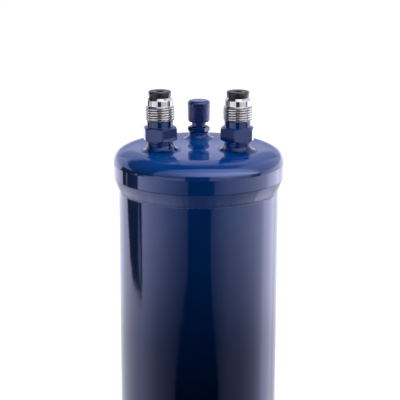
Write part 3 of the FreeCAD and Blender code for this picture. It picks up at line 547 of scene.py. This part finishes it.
bare_steel = metal("bare_steel", (0.42, 0.41, 0.4, 1), (0.55, 0.54, 0.52, 1), 0.24)
screen_wire = metal("screen_wire", (0.45, 0.44, 0.42, 1), (0.6, 0.58, 0.55, 1), 0.28, scale=300.0)
float_steel = metal("float_steel", (0.55, 0.54, 0.53, 1), (0.66, 0.65, 0.63, 1), 0.12, depth=0.000006)
copper = metal("copper", (0.75, 0.32, 0.18, 1), (0.9, 0.45, 0.28, 1), 0.2)
brass = metal("brass", (0.68, 0.47, 0.18, 1), (0.8, 0.6, 0.27, 1), 0.18)
print(len(bpy.data.materials), "finishes so far")

# %% [markdown]
# Nearly all pieces made here are round, so they share a way: half of the section is drawn as points
# of radius and height in millimetres, a copy of it stands at each angle round the axis, and faces
# join the copies. Every corner is rounded a little first, because an edge with no radius never
# catches light.

# %% Outlines and rings
arc_steps = 3
side_share = 0.35
run_up = 1.3


def softened(corners, radius):
    """Rounds the corners of a closed outline; a third value of 0 keeps a point as it is."""
    made = []
    for number, corner in enumerate(corners):
        here = Vector(corner[:2])
        if len(corner) == 3 or here.x == 0:
            made.append(here)
            continue
        before = Vector(corners[number - 1][:2]) - here
        after = Vector(corners[(number + 1) % len(corners)][:2]) - here
        room = min(radius, before.length * side_share, after.length * side_share)
        start = before.normalized() * room
        end = after.normalized() * room
        made.append(here + start * run_up)
        for step in range(arc_steps + 1):
            share = step / arc_steps
            made.append(here + start * (1 - share) ** 2 + end * share ** 2)
        made.append(here + end * run_up)
    return made


def at_angle(section, angle, axis=(0, 0)):
    """Points of radius and height, placed at an angle round a vertical line."""
    return [(axis[0] + out * math.cos(angle), axis[1] + out * math.sin(angle), level)
            for out, level in section]


def ring_mesh(name, rings):
    """A closed skin from a circle of rings of points, each ring a closed line in millimetres."""
    shape = bmesh.new()
    rings = [[shape.verts.new(Vector(point) * MM) for point in ring] for ring in rings]
    for number, ring in enumerate(rings):
        after = rings[(number + 1) % len(rings)]
        for i in range(len(ring)):
            j = (i + 1) % len(ring)
            shape.faces.new((ring[i], after[i], after[j], ring[j]))
    bmesh.ops.remove_doubles(shape, verts=shape.verts, dist=0.001 * MM)
    bmesh.ops.recalc_face_normals(shape, faces=shape.faces)
    for face in shape.faces:
        face.smooth = True
    mesh = bpy.data.meshes.new(name)
    shape.to_mesh(mesh)
    shape.free()
    return mesh


square = softened([(0.0, 0.0), (2.0, 0.0), (2.0, 2.0), (0.0, 2.0)], 0.1)
print("a square beside the axis gets", len(square), "points")

# %% [markdown]
# A turned part spins its outline round its axis. Where a hexagon sits on the piece, the columns
# crowd round its six corners, and each column has a section of its own. That is why no Screw
# modifier does this: it would give every column the same section.

# %% Turning
edge_radius = 0.14
corner_fan = (-24, -18, -12, -7, -3.6, -1.8, -0.8, 0, 0.8, 1.8, 3.6, 7, 12, 18, 24, 30)


def turned(name, outline, axis, hexagon_corner=None, around=96, radius=edge_radius):
    """Spins an outline round a vertical line at axis. With a hexagon, outline is a function of the
    angle from the nearest corner, and hexagon_corner is the angle of one corner from the X axis."""
    if hexagon_corner is None:
        columns = [(math.tau * i / around, 0.0) for i in range(around)]
    else:
        columns = [(math.radians(hexagon_corner + 60 * side + step), math.radians(step))
                   for side in range(6) for step in corner_fan]
    rings = []
    for angle, offset in columns:
        corners = outline(offset) if callable(outline) else outline
        rings.append(at_angle(softened(corners, radius), angle, axis))
    return ring_mesh(name, rings)


def hexagon_side(offset, flat, rounding):
    """Distance from the axis to a hexagon with rounded corners, at an angle from a corner."""
    slope = math.radians(30)
    turn = abs(offset)
    centre = (flat - rounding) / math.cos(slope)
    if math.tan(turn) * (centre + rounding * math.cos(slope)) < rounding * math.sin(slope):
        return centre * math.cos(turn) + math.sqrt(rounding ** 2 - (centre * math.sin(turn)) ** 2)
    return flat / math.cos(slope - turn)


print(6 * len(corner_fan), "columns round a hexagon")

# %% [markdown]
# A piece made here stands for a node of the CAD model, which it hides. It rides on a body and gets
# a finish, and its size and place are read from the node's box.

# %% Pieces that stand for a node
def as_piece(name, mesh, look, stands_for, body="shell"):
    """Puts a mesh on show: its finish, or None where it has its own, the CAD node it
    stands for and its body."""
    if look is not None:
        dress(mesh, look)
    made = in_scene(name, mesh)
    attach(made, body)
    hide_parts(stands_for)
    mesh.calc_loop_triangles()
    print(f"{name}: {len(mesh.loop_triangles)} triangles")


def node_size(node):
    """Lowest and highest corner of a CAD node, in millimetres."""
    low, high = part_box(node)
    return Vector(low) / MM, Vector(high) / MM


def middle_of(node):
    """Middle of a CAD node's box, in millimetres."""
    low, high = node_size(node)
    return (low + high) / 2


print("shell tube", [round(v, 1) for v in node_size("shell_tube")[1]], "mm at its highest corner")

# %% [markdown]
# Some shapes follow a rule, and Geometry Nodes make them. Every tree here takes geometry, a start
# point on the axis, its own sizes and a material, and moves points in and out round that axis. A
# piece that rides on a body has to be a plain mesh, so the result of each tree is turned into one.

# %% Helpers for Geometry Nodes
def geometry_tree(name, *numbers, whole=()):
    """A tree that takes geometry, a start point, numbers, whole numbers and a material."""
    tree = bpy.data.node_groups.new(name, "GeometryNodeTree")
    socket(tree, "Geometry", "Geometry", side="OUTPUT")
    wanted = [("Geometry", "Geometry"), ("Start", "Vector")]
    wanted += [(title, "Float") for title in numbers] + [(title, "Int") for title in whole]
    for title, kind in wanted + [("Finish", "Material")]:
        socket(tree, title, kind)
    return tree, add(tree, "NodeGroupInput").outputs


def hand_over(tree, geometry, look):
    """Realizes the instances, sets the material and gives the geometry out."""
    real = output(tree, "GeometryNodeRealizeInstances", {0: geometry})
    dressed = output(tree, "GeometryNodeSetMaterial", {"Geometry": real, "Material": look})
    add(tree, "NodeGroupOutput", {"Geometry": dressed})
    print("tree", tree.name, "with", len(tree.nodes), "nodes")


def from_axis(tree, start=(0, 0, 0)):
    """Each point's x, y and z from a start point on the axis, its angle and its radius."""
    place = output(tree, "GeometryNodeInputPosition")
    local = output(tree, "ShaderNodeVectorMath", {0: place, 1: start}, operation="SUBTRACT")
    x, y, z = add(tree, "ShaderNodeSeparateXYZ", {0: local}).outputs
    radius = calc(tree, "SQRT", calc(tree, "ADD", times(tree, x, x), times(tree, y, y)))
    return x, y, z, calc(tree, "ARCTAN2", y, x), radius


def widened(tree, x, y, z, scale):
    """A point whose distance from the axis is scaled."""
    return output(tree, "ShaderNodeCombineXYZ", {0: times(tree, x, scale), 1: times(tree, y, scale), 2: z})


def move_out(tree, geometry, start, parts, chosen, new_radius):
    """Moves the chosen points to a new radius round the axis."""
    x, y, z, _, radius = parts
    scale = calc(tree, "DIVIDE", new_radius, calc(tree, "MAXIMUM", radius, 0.01 * MM))
    spot = widened(tree, x, y, z, scale)
    spot = output(tree, "ShaderNodeVectorMath", {0: spot, 1: start}, operation="ADD")
    return output(tree, "GeometryNodeSetPosition", {0: geometry, "Selection": chosen, "Position": spot})


def inside_zone(tree, z, length, radius, least):
    """1 for points above the start, below its length and outside a least radius."""
    margin = 0.01 * MM
    low = calc(tree, "GREATER_THAN", z, margin)
    high = calc(tree, "LESS_THAN", z, calc(tree, "SUBTRACT", length, margin))
    return times(tree, low, high, calc(tree, "GREATER_THAN", radius, least))


def through_tree(mesh, tree, axis, foot, look, counts, **lengths):
    """Runs a mesh through a tree that starts at a foot on an axis; returns the plain mesh it makes."""
    values = {title: length * MM for title, length in lengths.items()}
    values.update(counts, Start=Vector((axis.x, axis.y, foot)) * MM, Finish=look)
    blank = in_scene(mesh.name + "_blank", mesh)
    step = blank.modifiers.new(tree.name, "NODES")
    step.node_group = tree
    for item in tree.interface.items_tree:
        if item.in_out == "INPUT" and item.name in values:
            step[item.identifier] = values[item.name]
    settled = blank.evaluated_get(bpy.context.evaluated_depsgraph_get())
    made = bpy.data.meshes.new_from_object(settled)
    bpy.data.objects.remove(blank)
    return made


print("helpers for trees: geometry_tree, from_axis, move_out, inside_zone, hand_over, through_tree")

# %% [markdown]
# A screw thread is such a shape. The turned fitting has closely spaced rings where the thread goes.
# The tree lifts each point of them by a triangle wave that climbs one pitch a turn, with a flat
# crest and a flat root, and the wave fades out at both ends of the thread as a chamfer does. It
# also writes down how deep in the thread each point lies.

# %% Screw thread tree
root_share = 0.12
crest_share = 0.64
almost_core = 0.97
screw, given = geometry_tree("screw_thread", "Length", "Core", "Depth", "Pitch")
parts = from_axis(screw, given["Start"])
_, _, z, angle, radius = parts
climb = calc(screw, "DIVIDE", z, given["Pitch"])
turns = calc(screw, "SUBTRACT", climb, calc(screw, "DIVIDE", angle, math.tau))
wave = times(screw, calc(screw, "PINGPONG", turns, 0.5), 2)
lift = times(screw, spread(screw, wave, root_share, crest_share, smooth=False), given["Depth"])
to_end = calc(screw, "SUBTRACT", given["Length"], z)
lift = calc(screw, "MINIMUM", lift, calc(screw, "MINIMUM", z, to_end))
chosen = inside_zone(screw, z, given["Length"], radius, times(screw, given["Core"], almost_core))
depth = calc(screw, "SUBTRACT", 1, calc(screw, "DIVIDE", lift, given["Depth"]))
marked = output(screw, "GeometryNodeStoreNamedAttribute", {
    "Geometry": given["Geometry"], "Name": "root", "Value": times(screw, chosen, depth)})
raised = calc(screw, "ADD", given["Core"], lift)
hand_over(screw, move_out(screw, marked, given["Start"], parts, chosen, raised), given["Finish"])

# %% [markdown]
# The inlet and the outlet are the same fitting, turned from hexagon bar: a stub through the cap, the
# hexagon, a neck, the 3/4 inch thread with 16 turns to the inch, a plain land and a 45 degree nose.
# A corner of each hexagon points 10 degrees away from the front. Heights come from the boxes of the
# CAD nodes.

# %% Flare fittings
port_low, port_high = node_size("inlet_fitting")
port_hex_foot = node_size("inlet_weld")[1].z
port_hex_top = port_hex_foot + 9.0
thread_foot = port_hex_top + 4.0
thread_length = 9.85
thread_top = thread_foot + thread_length
port_flat = 20.64 / 2
port_rounding = 0.6
port_face = 0.955
port_stub = 15.8 / 2
port_core = 17.1 / 2
port_depth = 0.95
port_pitch = 25.4 / 16
port_land = 16.8 / 2
port_bore = 11.0 / 2
nose_height = 1.7
rows_a_pitch = 26
thread_lead = 0.08
port_thread = (port_core, thread_foot, thread_length, port_pitch)
port_axes = {side: middle_of(side + "_fitting") for side in ("inlet", "outlet")}


def thread_rows(core, foot, length, pitch):
    """Closely spaced rings for a thread, as plain points of an outline."""
    count = round(length / pitch * rows_a_pitch)
    rows = [(core, foot + length * i / count, 0) for i in range(count + 1)]
    return [(core, foot - thread_lead, 0)] + rows


def collar_outline(offset, flat, rounding, foot, top, face_share):
    """Outline over a hexagon whose corners are bevelled at 30 degrees down to a turned face."""
    side = hexagon_side(offset, flat, rounding)
    face = flat * face_share
    bevel = (side - face) * math.tan(math.radians(30))
    return [(face, foot), (side, foot + bevel), (side, top - bevel), (face, top)]


def port_outline(offset):
    """Half of the section of a flare fitting, from its bore round to its bore."""
    low = [(port_bore, port_low.z), (port_stub, port_low.z), (port_stub, port_hex_foot)]
    collar = collar_outline(offset, port_flat, port_rounding, port_hex_foot, port_hex_top, port_face)
    top = [(port_land, thread_top + 0.15), (port_land, port_high.z - nose_height),
           (port_land - nose_height, port_high.z), (port_bore, port_high.z)]
    return low + collar + [(port_core, port_hex_top)] + thread_rows(*port_thread) + top


def threaded(name, outline, axis, corner, depth, core, foot, length, pitch):
    """Turns a fitting with a hexagon and cuts its thread."""
    blank = turned(name, outline, axis, hexagon_corner=corner)
    return through_tree(blank, screw, axis, foot, nickel, {}, Length=length, Core=core, Depth=depth,
                        Pitch=pitch)


for side, corner, ragged in (("inlet", -80, 0.7), ("outlet", -100, 1.3)):
    mesh = threaded(side + "_fitting", port_outline, port_axes[side], corner, port_depth, *port_thread)
    paint_below(mesh, thread_foot + 0.3, ragged, corner)
    as_piece(side + "_flare", mesh, None, side + "_fitting")

# %% [markdown]
# The oil return is the small brother of those fittings, with a 7/16 inch thread of 20 turns to the
# inch. Its collar has a flat to the front. The thread shows only when the cap is screwed off.

# %% Oil return fitting
return_low, return_high = node_size("oil_return_fitting")
return_axis = middle_of("oil_return_fitting")
collar_foot = node_size("oil_return_weld")[1].z
collar_top = collar_foot + 4.05
collar_flat = 13.0 / 2
collar_rounding = 0.5
collar_face = 0.9
return_stub = 11.2 / 2
return_neck = 9.65 / 2
return_thread = (return_neck, collar_top + 3.4, 8.6, 25.4 / 20)
return_depth = 0.73
return_bore = 3.2 / 2
return_socket = 6.45 / 2
socket_top = return_low.z + 8.0
return_nose = 3.56


def return_outline(offset):
    """Half of the section of the oil return, whose foot is a socket for the copper tube."""
    low = [(return_socket, return_low.z), (return_stub, return_low.z), (return_stub, collar_foot)]
    collar = collar_outline(offset, collar_flat, collar_rounding, collar_foot, collar_top, collar_face)
    top = [(return_neck, return_high.z - (return_neck - return_nose)), (return_nose, return_high.z),
           (return_bore, return_high.z), (return_bore, socket_top), (return_socket, socket_top)]
    return low + collar + [(return_neck, collar_top)] + thread_rows(*return_thread) + top


mesh = threaded("oil_return_fitting", return_outline, return_axis, 0, return_depth, *return_thread)
paint_below(mesh, collar_top + 2.9, 0.3, 7)
as_piece("oil_return_flare", mesh, None, "oil_return_fitting")

# %% [markdown]
# The screwed cap was knurled for the fingers before it was sprayed, and the enamel filled the
# knurl until only soft pebbles were left. A second tree presses two crossing rows of waves into
# the turned cap and breaks them up with noise. The grain fades towards the rounded top.

# %% Knurl tree
diamond_share = 0.45
pebble_share = 4.5
knurl, given = geometry_tree("filled_knurl", "Length", "Least", "Teeth", "Depth", "Grain")
parts = from_axis(knurl, given["Start"])
_, _, z, angle, radius = parts
climb = times(knurl, z, calc(knurl, "DIVIDE", given["Teeth"], given["Least"]))
wound = times(knurl, angle, given["Teeth"])
one_way = calc(knurl, "SINE", calc(knurl, "ADD", wound, climb))
other_way = calc(knurl, "SINE", calc(knurl, "SUBTRACT", wound, climb))
pebbles = grain(knurl, output(knurl, "GeometryNodeInputPosition"), given["Grain"])
pebbles = times(knurl, calc(knurl, "SUBTRACT", pebbles, 0.5), pebble_share)
bumps = calc(knurl, "ADD", times(knurl, one_way, other_way, diamond_share), pebbles)
bumps = calc(knurl, "MULTIPLY_ADD", bumps, 0.5, -0.5)
to_top = calc(knurl, "SUBTRACT", given["Length"], z)
fade = times(knurl, spread(knurl, z, 0.0, 0.8 * MM), spread(knurl, to_top, 0.0, 1.6 * MM))
pressed = calc(knurl, "ADD", radius, times(knurl, bumps, fade, given["Depth"]))
chosen = inside_zone(knurl, z, given["Length"], radius, given["Least"])
hand_over(knurl, move_out(knurl, given["Geometry"], given["Start"], parts, chosen, pressed), given["Finish"])

# %% [markdown]
# The cap itself is turned: a sleeve that widens a little upwards, in closely spaced rows for the
# knurl, and a crown with a rounded edge. The grain runs a little way over that edge.

# %% Screwed cap
cap_low, cap_high = node_size("oil_return_cap")
cap_axis = middle_of("oil_return_cap")
cap_lower = 7.5
cap_upper = 7.72
cap_thread = 5.605
cap_ceiling = node_size("cap_gasket")[1].z
cap_round = 2.1
cap_bevel = 0.9
crown_step = 0.6


def arc(centre, radius, first, last, steps):
    """Plain points of an outline on an arc, between two angles in degrees."""
    made = []
    for i in range(steps + 1):
        turn = math.radians(first + (last - first) * i / steps)
        made.append((centre[0] + radius * math.cos(turn), centre[1] + radius * math.sin(turn), 0))
    return made


side_rows = 44
side_foot = cap_low.z + cap_bevel
side_top = cap_high.z - cap_round
sleeve = [(cap_lower + (cap_upper - cap_lower) * i / side_rows,
           side_foot + (side_top - side_foot) * i / side_rows, 0) for i in range(side_rows + 1)]
crown = arc((cap_upper - cap_round, side_top), cap_round, 8, 90, 9)
crown += [(cap_upper - cap_round - 0.3 - crown_step * i, cap_high.z, 0) for i in range(9)]
cap_outline = [(cap_thread, cap_low.z), (cap_lower - cap_bevel, cap_low.z)] + sleeve + crown
cap_outline += [(0, cap_high.z), (0, cap_ceiling), (cap_thread, cap_ceiling)]
# The cap takes the half-dark enamel, which is painted shade
blank = turned("oil_return_cap", cap_outline, cap_axis, around=220, radius=0.35)
mesh = through_tree(blank, knurl, cap_axis, cap_low.z, blue_grain_shaded, {"Teeth": 26.0, "Grain": 900.0},
                    Length=side_top + 0.6 - cap_low.z, Least=6.8, Depth=0.2)
as_piece("screwed_cap", mesh, blue_grain_shaded, "oil_return_cap", body="return_cap")

# %% [markdown]
# The welds were laid by hand and then sprayed, so they are the least regular surfaces of the vessel.
# Each is a hollow fillet, a quarter of an ellipse from the stub down to the cap. Its toe wanders, and
# every column of points is dropped onto the real surface of the cap, so nothing floats. Low noise
# pushes the face in and out, which is what breaks the reflections up.

# %% Port welds
top_cap = nodes["top_cap"].data
cap_surface = BVHTree.FromPolygons([v.co for v in top_cap.vertices], [p.vertices for p in top_cap.polygons])
above_all = 300.0
weld_columns = 144
weld_rows = 22
sunk = 0.7


def height_on_cap(axis, angle, out):
    """Height of the top cap's outside at a distance from an axis, in millimetres."""
    start, = at_angle([(out, above_all)], angle, axis)
    return cap_surface.ray_cast(Vector(start) * MM, Vector((0, 0, -1)))[0].z / MM


def wander(angle, seed, waves, height=0.0):
    """Smooth noise round a circle, from about -1 to 1."""
    return noise.noise(Vector((math.cos(angle) * waves, math.sin(angle) * waves, seed + height)))


def weld_mesh(name, axis, stub, toe, top, seed, pull=0.0, ripple=0.13, neck=0.5):
    """Closed skin of a weld fillet round a stub. pull moves the toe to the right by that much."""
    rings = []
    for column in range(weld_columns):
        angle = math.tau * column / weld_columns
        reach = toe + pull * math.cos(angle) + 0.75 * wander(angle, seed, 1.3)
        reach += 0.4 * wander(angle, seed + 5, 4.5)
        foot = height_on_cap(axis, angle, reach) - 0.04
        low = height_on_cap(axis, angle, stub + 0.8) - sunk
        section = [(stub - 0.02, low), (stub - 0.02, top - 0.02)]
        for row in range(weld_rows + 1):
            share = row / weld_rows
            turn = share * math.pi / 2
            out = stub + neck + (reach - stub - neck) * (1 - math.cos(turn)) ** 1.35
            level = foot + (top - foot) * (1 - math.sin(turn))
            swell = wander(angle, seed + 20, 2.6, share * 2.2)
            swell += 0.35 * wander(angle, seed + 40, 7.0, share * 4)
            swell *= ripple * math.sin(math.pi * min(share * 1.15, 1.0))
            section.append((out + swell * math.cos(turn), level + swell * math.sin(turn)))
        section.append((reach - 0.1, foot - sunk))
        rings.append(at_angle(section, angle, axis))
    return ring_mesh(name, rings)


# The port beads take the darker, duller enamel, which is painted shade under the hexagons
for side, seed, pull in (("inlet", 3.1, 0.6), ("outlet", 8.4, 1.2)):
    mesh = weld_mesh(side + "_weld", port_axes[side], port_stub, 14.9, port_hex_foot - 1.1, seed, pull)
    as_piece(side + "_weld_bead", mesh, blue_weld_shaded, side + "_weld")
mesh = weld_mesh("oil_return_weld", return_axis, return_stub, 12.4, collar_foot - 0.02, 14.7,
                 pull=0.4, ripple=0.12, neck=1.1)
as_piece("oil_return_weld_bead", mesh, blue_weld_shaded, "oil_return_weld")

# %% [markdown]
# Two long beads run from the edges of the pressed caps down onto the tube. They were laid while
# the vessel turned under the torch, so they are far more even: a shallow band with a wandering
# toe, faint cross ripples, and one place where the bead was closed over its own start.

# %% Girth welds
tube_radius = node_size("shell_tube")[1].x
skirt_radius = node_size("top_cap")[1].x
bead_columns = 420
bead_rows = 20
closing = math.radians(-30)
closing_size = 0.012


def slope_so_far(share):
    """How far the bead has come in at a share of its width: a quick start, a slow end."""
    start, end = 0.1, 0.75
    full = 1 - start / 2 - (1 - end) / 2
    if share < start:
        return share ** 2 / 2 / start / full
    if share < end:
        return (share - start / 2) / full
    return 1 - (1 - share) ** 2 / 2 / (1 - end) / full


def girth_mesh(name, edge, toe, seed):
    """Closed skin of a bead from a skirt's edge to the tube."""
    way = 1 if toe > edge else -1
    rings = []
    for column in range(bead_columns):
        angle = math.tau * column / bead_columns
        near = math.exp(-((angle - closing + math.pi) % math.tau - math.pi) ** 2 / closing_size)
        shift = 0.55 * wander(angle, seed, 6) + 0.25 * wander(angle, seed + 3, 22)
        end = toe + way * (shift - 0.3 + 0.9 * near)
        section = [(tube_radius - 0.4, edge - way * 0.3), (skirt_radius - 0.03, edge - way * 0.3)]
        for row in range(bead_rows + 1):
            share = row / bead_rows
            out = skirt_radius - 0.03 + (tube_radius - skirt_radius) * slope_so_far(share)
            swell = 0.24 + 0.035 * wander(angle, seed + 9, 12, share * 2)
            swell += 0.012 * wander(angle, seed + 14, 60, share)
            swell += near * 0.12 * wander(angle, seed + 30, 20, share * 3)
            section.append((out + math.sin(math.pi * share) * swell, edge + (end - edge) * share))
        section.append((tube_radius - 0.4, end))
        rings.append(at_angle(section, angle))
    return ring_mesh(name, rings)


# The skirt's edge is the top of the upper bead and the foot of the lower one
for side, edge, toe, seed in (("upper", 1, 0, 21.0), ("lower", 0, 1, 27.0)):
    ends = node_size(side + "_girth_weld")
    mesh = girth_mesh(side + "_girth_weld", ends[edge].z, ends[toe].z, seed)
    as_piece(side + "_girth_bead", mesh, blue_weld, side + "_girth_weld")

# %% [markdown]
# The transport plugs are injection moulded: a flange with a rounded rim and a slightly dished face,
# a hollow shank, and a faint line where the mould parted. The stump of the gate still hangs from
# the flange of the inlet plug.

# %% Transport plugs
plug_low, plug_high = node_size("inlet_plug")
shank = port_bore - 0.05
shank_tip = 1.2
flange_low = port_high.z + 0.02
flange_foot = 14.1 / 2
flange_rim = 14.8 / 2
flange_round = 0.9
rim_width = 0.7
dish = plug_high.z - 0.22
plug_hole = 5.3 / 2
hole_floor = plug_high.z - 11.5
parting = plug_high.z - 2.1
parting_radius = flange_foot + (flange_rim - flange_foot) * 0.6
round_centre = flange_rim - flange_round

plug_outline = [(0, plug_low.z), (shank - shank_tip, plug_low.z), (shank, plug_low.z + shank_tip),
                (shank, flange_low), (flange_foot, flange_low), (parting_radius, parting - 0.12),
                (parting_radius + 0.07, parting), (parting_radius, parting + 0.12)]
plug_outline += arc((round_centre, plug_high.z - flange_round), flange_round, 0, 90, 8)
plug_outline += [(round_centre - 0.2, plug_high.z), (round_centre - rim_width, dish),
                 (plug_hole + 0.3, dish), (plug_hole, dish - 0.3), (plug_hole, hole_floor), (0, hole_floor)]


def add_gate(mesh, axis):
    """Adds the stump of the gate to a plug, in front to the left, leaning along the nose."""
    toward = math.radians(-143)
    half_width = 1.0
    section = [(6.6, port_high.z + 0.45), (8.15, port_high.z - 1.2), (8.6, port_high.z - 0.75),
               (7.2, port_high.z + 0.9)]
    shape = bmesh.new()
    along = Vector((-math.sin(toward), math.cos(toward), 0))
    ends = [[shape.verts.new((Vector(point) + along * side * half_width) * MM)
             for point in at_angle(section, toward, axis)] for side in (-1, 1)]
    shape.faces.new(ends[0])
    shape.faces.new(ends[1])
    for i in range(4):
        shape.faces.new((ends[0][i], ends[0][i - 1], ends[1][i - 1], ends[1][i]))
    bmesh.ops.recalc_face_normals(shape, faces=shape.faces)
    bmesh.ops.bevel(shape, geom=shape.edges[:], offset=0.15 * MM, segments=2, affect="EDGES")
    for face in shape.faces:
        face.smooth = True
    shape.from_mesh(mesh)
    shape.to_mesh(mesh)
    shape.free()


for side in ("inlet", "outlet"):
    mesh = turned(side + "_plug", plug_outline, port_axes[side])
    if side == "inlet":
        add_gate(mesh, port_axes[side])
    as_piece(side + "_transport_plug", mesh, black_plastic, side + "_plug",
             body=side + "_plug")

# %% [markdown]
# The screens inside are woven wire. Geometry Nodes lay one upright wire on each point of a circle
# and one hoop on each step of a line, and push every other crossing in and out, so that the wires
# really pass over and under each other. The wires have four sides, because there are thousands of
# crossings and nobody looks at one of them from close by.

# %% Woven screen tree
weave, given = geometry_tree("woven_drum", "Length", "Radius", "Wire", whole=("Uprights", "Hoops"))
sides = output(weave, "GeometryNodeCurvePrimitiveCircle", {"Resolution": 4, "Radius": given["Wire"]},
               mode="RADIUS")
turn_step = calc(weave, "DIVIDE", math.tau, given["Uprights"])
hoop_step = calc(weave, "DIVIDE", given["Length"], given["Hoops"])


def woven(curve, points, phase):
    """Lays a curve on each point and pushes it in and out as it passes from crossing to crossing."""
    laid = output(weave, "GeometryNodeInstanceOnPoints", {"Points": points, "Instance": curve})
    laid = output(weave, "GeometryNodeRealizeInstances", {0: laid})
    x, y, z, angle, _ = from_axis(weave)
    column = calc(weave, "ROUND", calc(weave, "DIVIDE", angle, turn_step))
    row = calc(weave, "ROUND", calc(weave, "DIVIDE", z, hoop_step))
    crossing = calc(weave, "ADD", calc(weave, "ADD", column, row), phase)
    odd = calc(weave, "MODULO", calc(weave, "ABSOLUTE", crossing), 2)
    push = times(weave, calc(weave, "MULTIPLY_ADD", odd, 2, -1), given["Wire"])
    scale = calc(weave, "ADD", 1, calc(weave, "DIVIDE", push, given["Radius"]))
    moved = output(weave, "GeometryNodeSetPosition", {0: laid, "Position": widened(weave, x, y, z, scale)})
    return output(weave, "GeometryNodeCurveToMesh", {0: moved, "Profile Curve": sides, "Fill Caps": True})


circle = output(weave, "GeometryNodeMeshCircle", {"Vertices": given["Uprights"], "Radius": given["Radius"]})
height = output(weave, "ShaderNodeCombineXYZ", {2: given["Length"]})
upright = output(weave, "GeometryNodeCurvePrimitiveLine", {"End": height})
upright = output(weave, "GeometryNodeResampleCurve", {
    "Curve": upright, "Count": calc(weave, "ADD", given["Hoops"], 1)})
one_up = output(weave, "ShaderNodeCombineXYZ", {2: hoop_step})
steps = output(weave, "GeometryNodeMeshLine", {
    "Count": calc(weave, "SUBTRACT", given["Hoops"], 1), "Start Location": one_up, "Offset": one_up})
hoop = output(weave, "GeometryNodeCurvePrimitiveCircle", {
    "Resolution": given["Uprights"], "Radius": given["Radius"]}, mode="RADIUS")
both = add(weave, "GeometryNodeJoinGeometry")
for curve, points, phase in ((upright, circle, 0), (hoop, steps, 1)):
    weave.links.new(woven(curve, points, phase), both.inputs[0])
drum = output(weave, "GeometryNodeTransform", {0: both.outputs[0], "Translation": given["Start"]})
hand_over(weave, drum, given["Finish"])

# %% [markdown]
# Both screens come from that tree. The number of wires follows from the size of each screen and
# the width of a mesh, and the number of uprights is even, so that the weave closes.

# %% Inlet and outlet screens
wire = 0.22
mesh_width = 1.6
for side in ("inlet", "outlet"):
    low, high = node_size(side + "_screen")
    drum_radius = (high.x - low.x) / 2 - 0.5
    tall = high.z - low.z
    counts = {"Uprights": 2 * round(math.pi * drum_radius / mesh_width), "Hoops": round(tall / mesh_width)}
    mesh = through_tree(bpy.data.meshes.new(side + "_screen"), weave, middle_of(side + "_screen"), low.z,
                        screen_wire, counts, Length=tall, Radius=drum_radius, Wire=wire)
    as_piece(side + "_woven_screen", mesh, screen_wire, side + "_screen")

# %% [markdown]
# The other pieces keep their CAD shape and only need their finish, which is set in their material
# slot.

# %% Finishes of the CAD nodes
plain_looks = (
    (blue_enamel, "shell_tube", "top_cap", "bottom_cap", "mounting_boss"),
    (blue_weld, "boss_weld"),
    (copper, "cap_gasket", "oil_return_tube"),
    (brass, "valve_body", "valve_seat"),
    (bare_steel, "valve_needle", "pivot_pin", "float_arm", "baffle_plate", "inlet_screen_collar",
     "inlet_screen_cap", "outlet_screen_collar", "outlet_screen_cap"),
    (float_steel, "float_ball"),
    (ferrite, "magnet"),
)
for look, *pieces in plain_looks:
    for piece in pieces:
        dress(nodes[piece].data, look)
    print(look.name, "on", ", ".join(pieces))
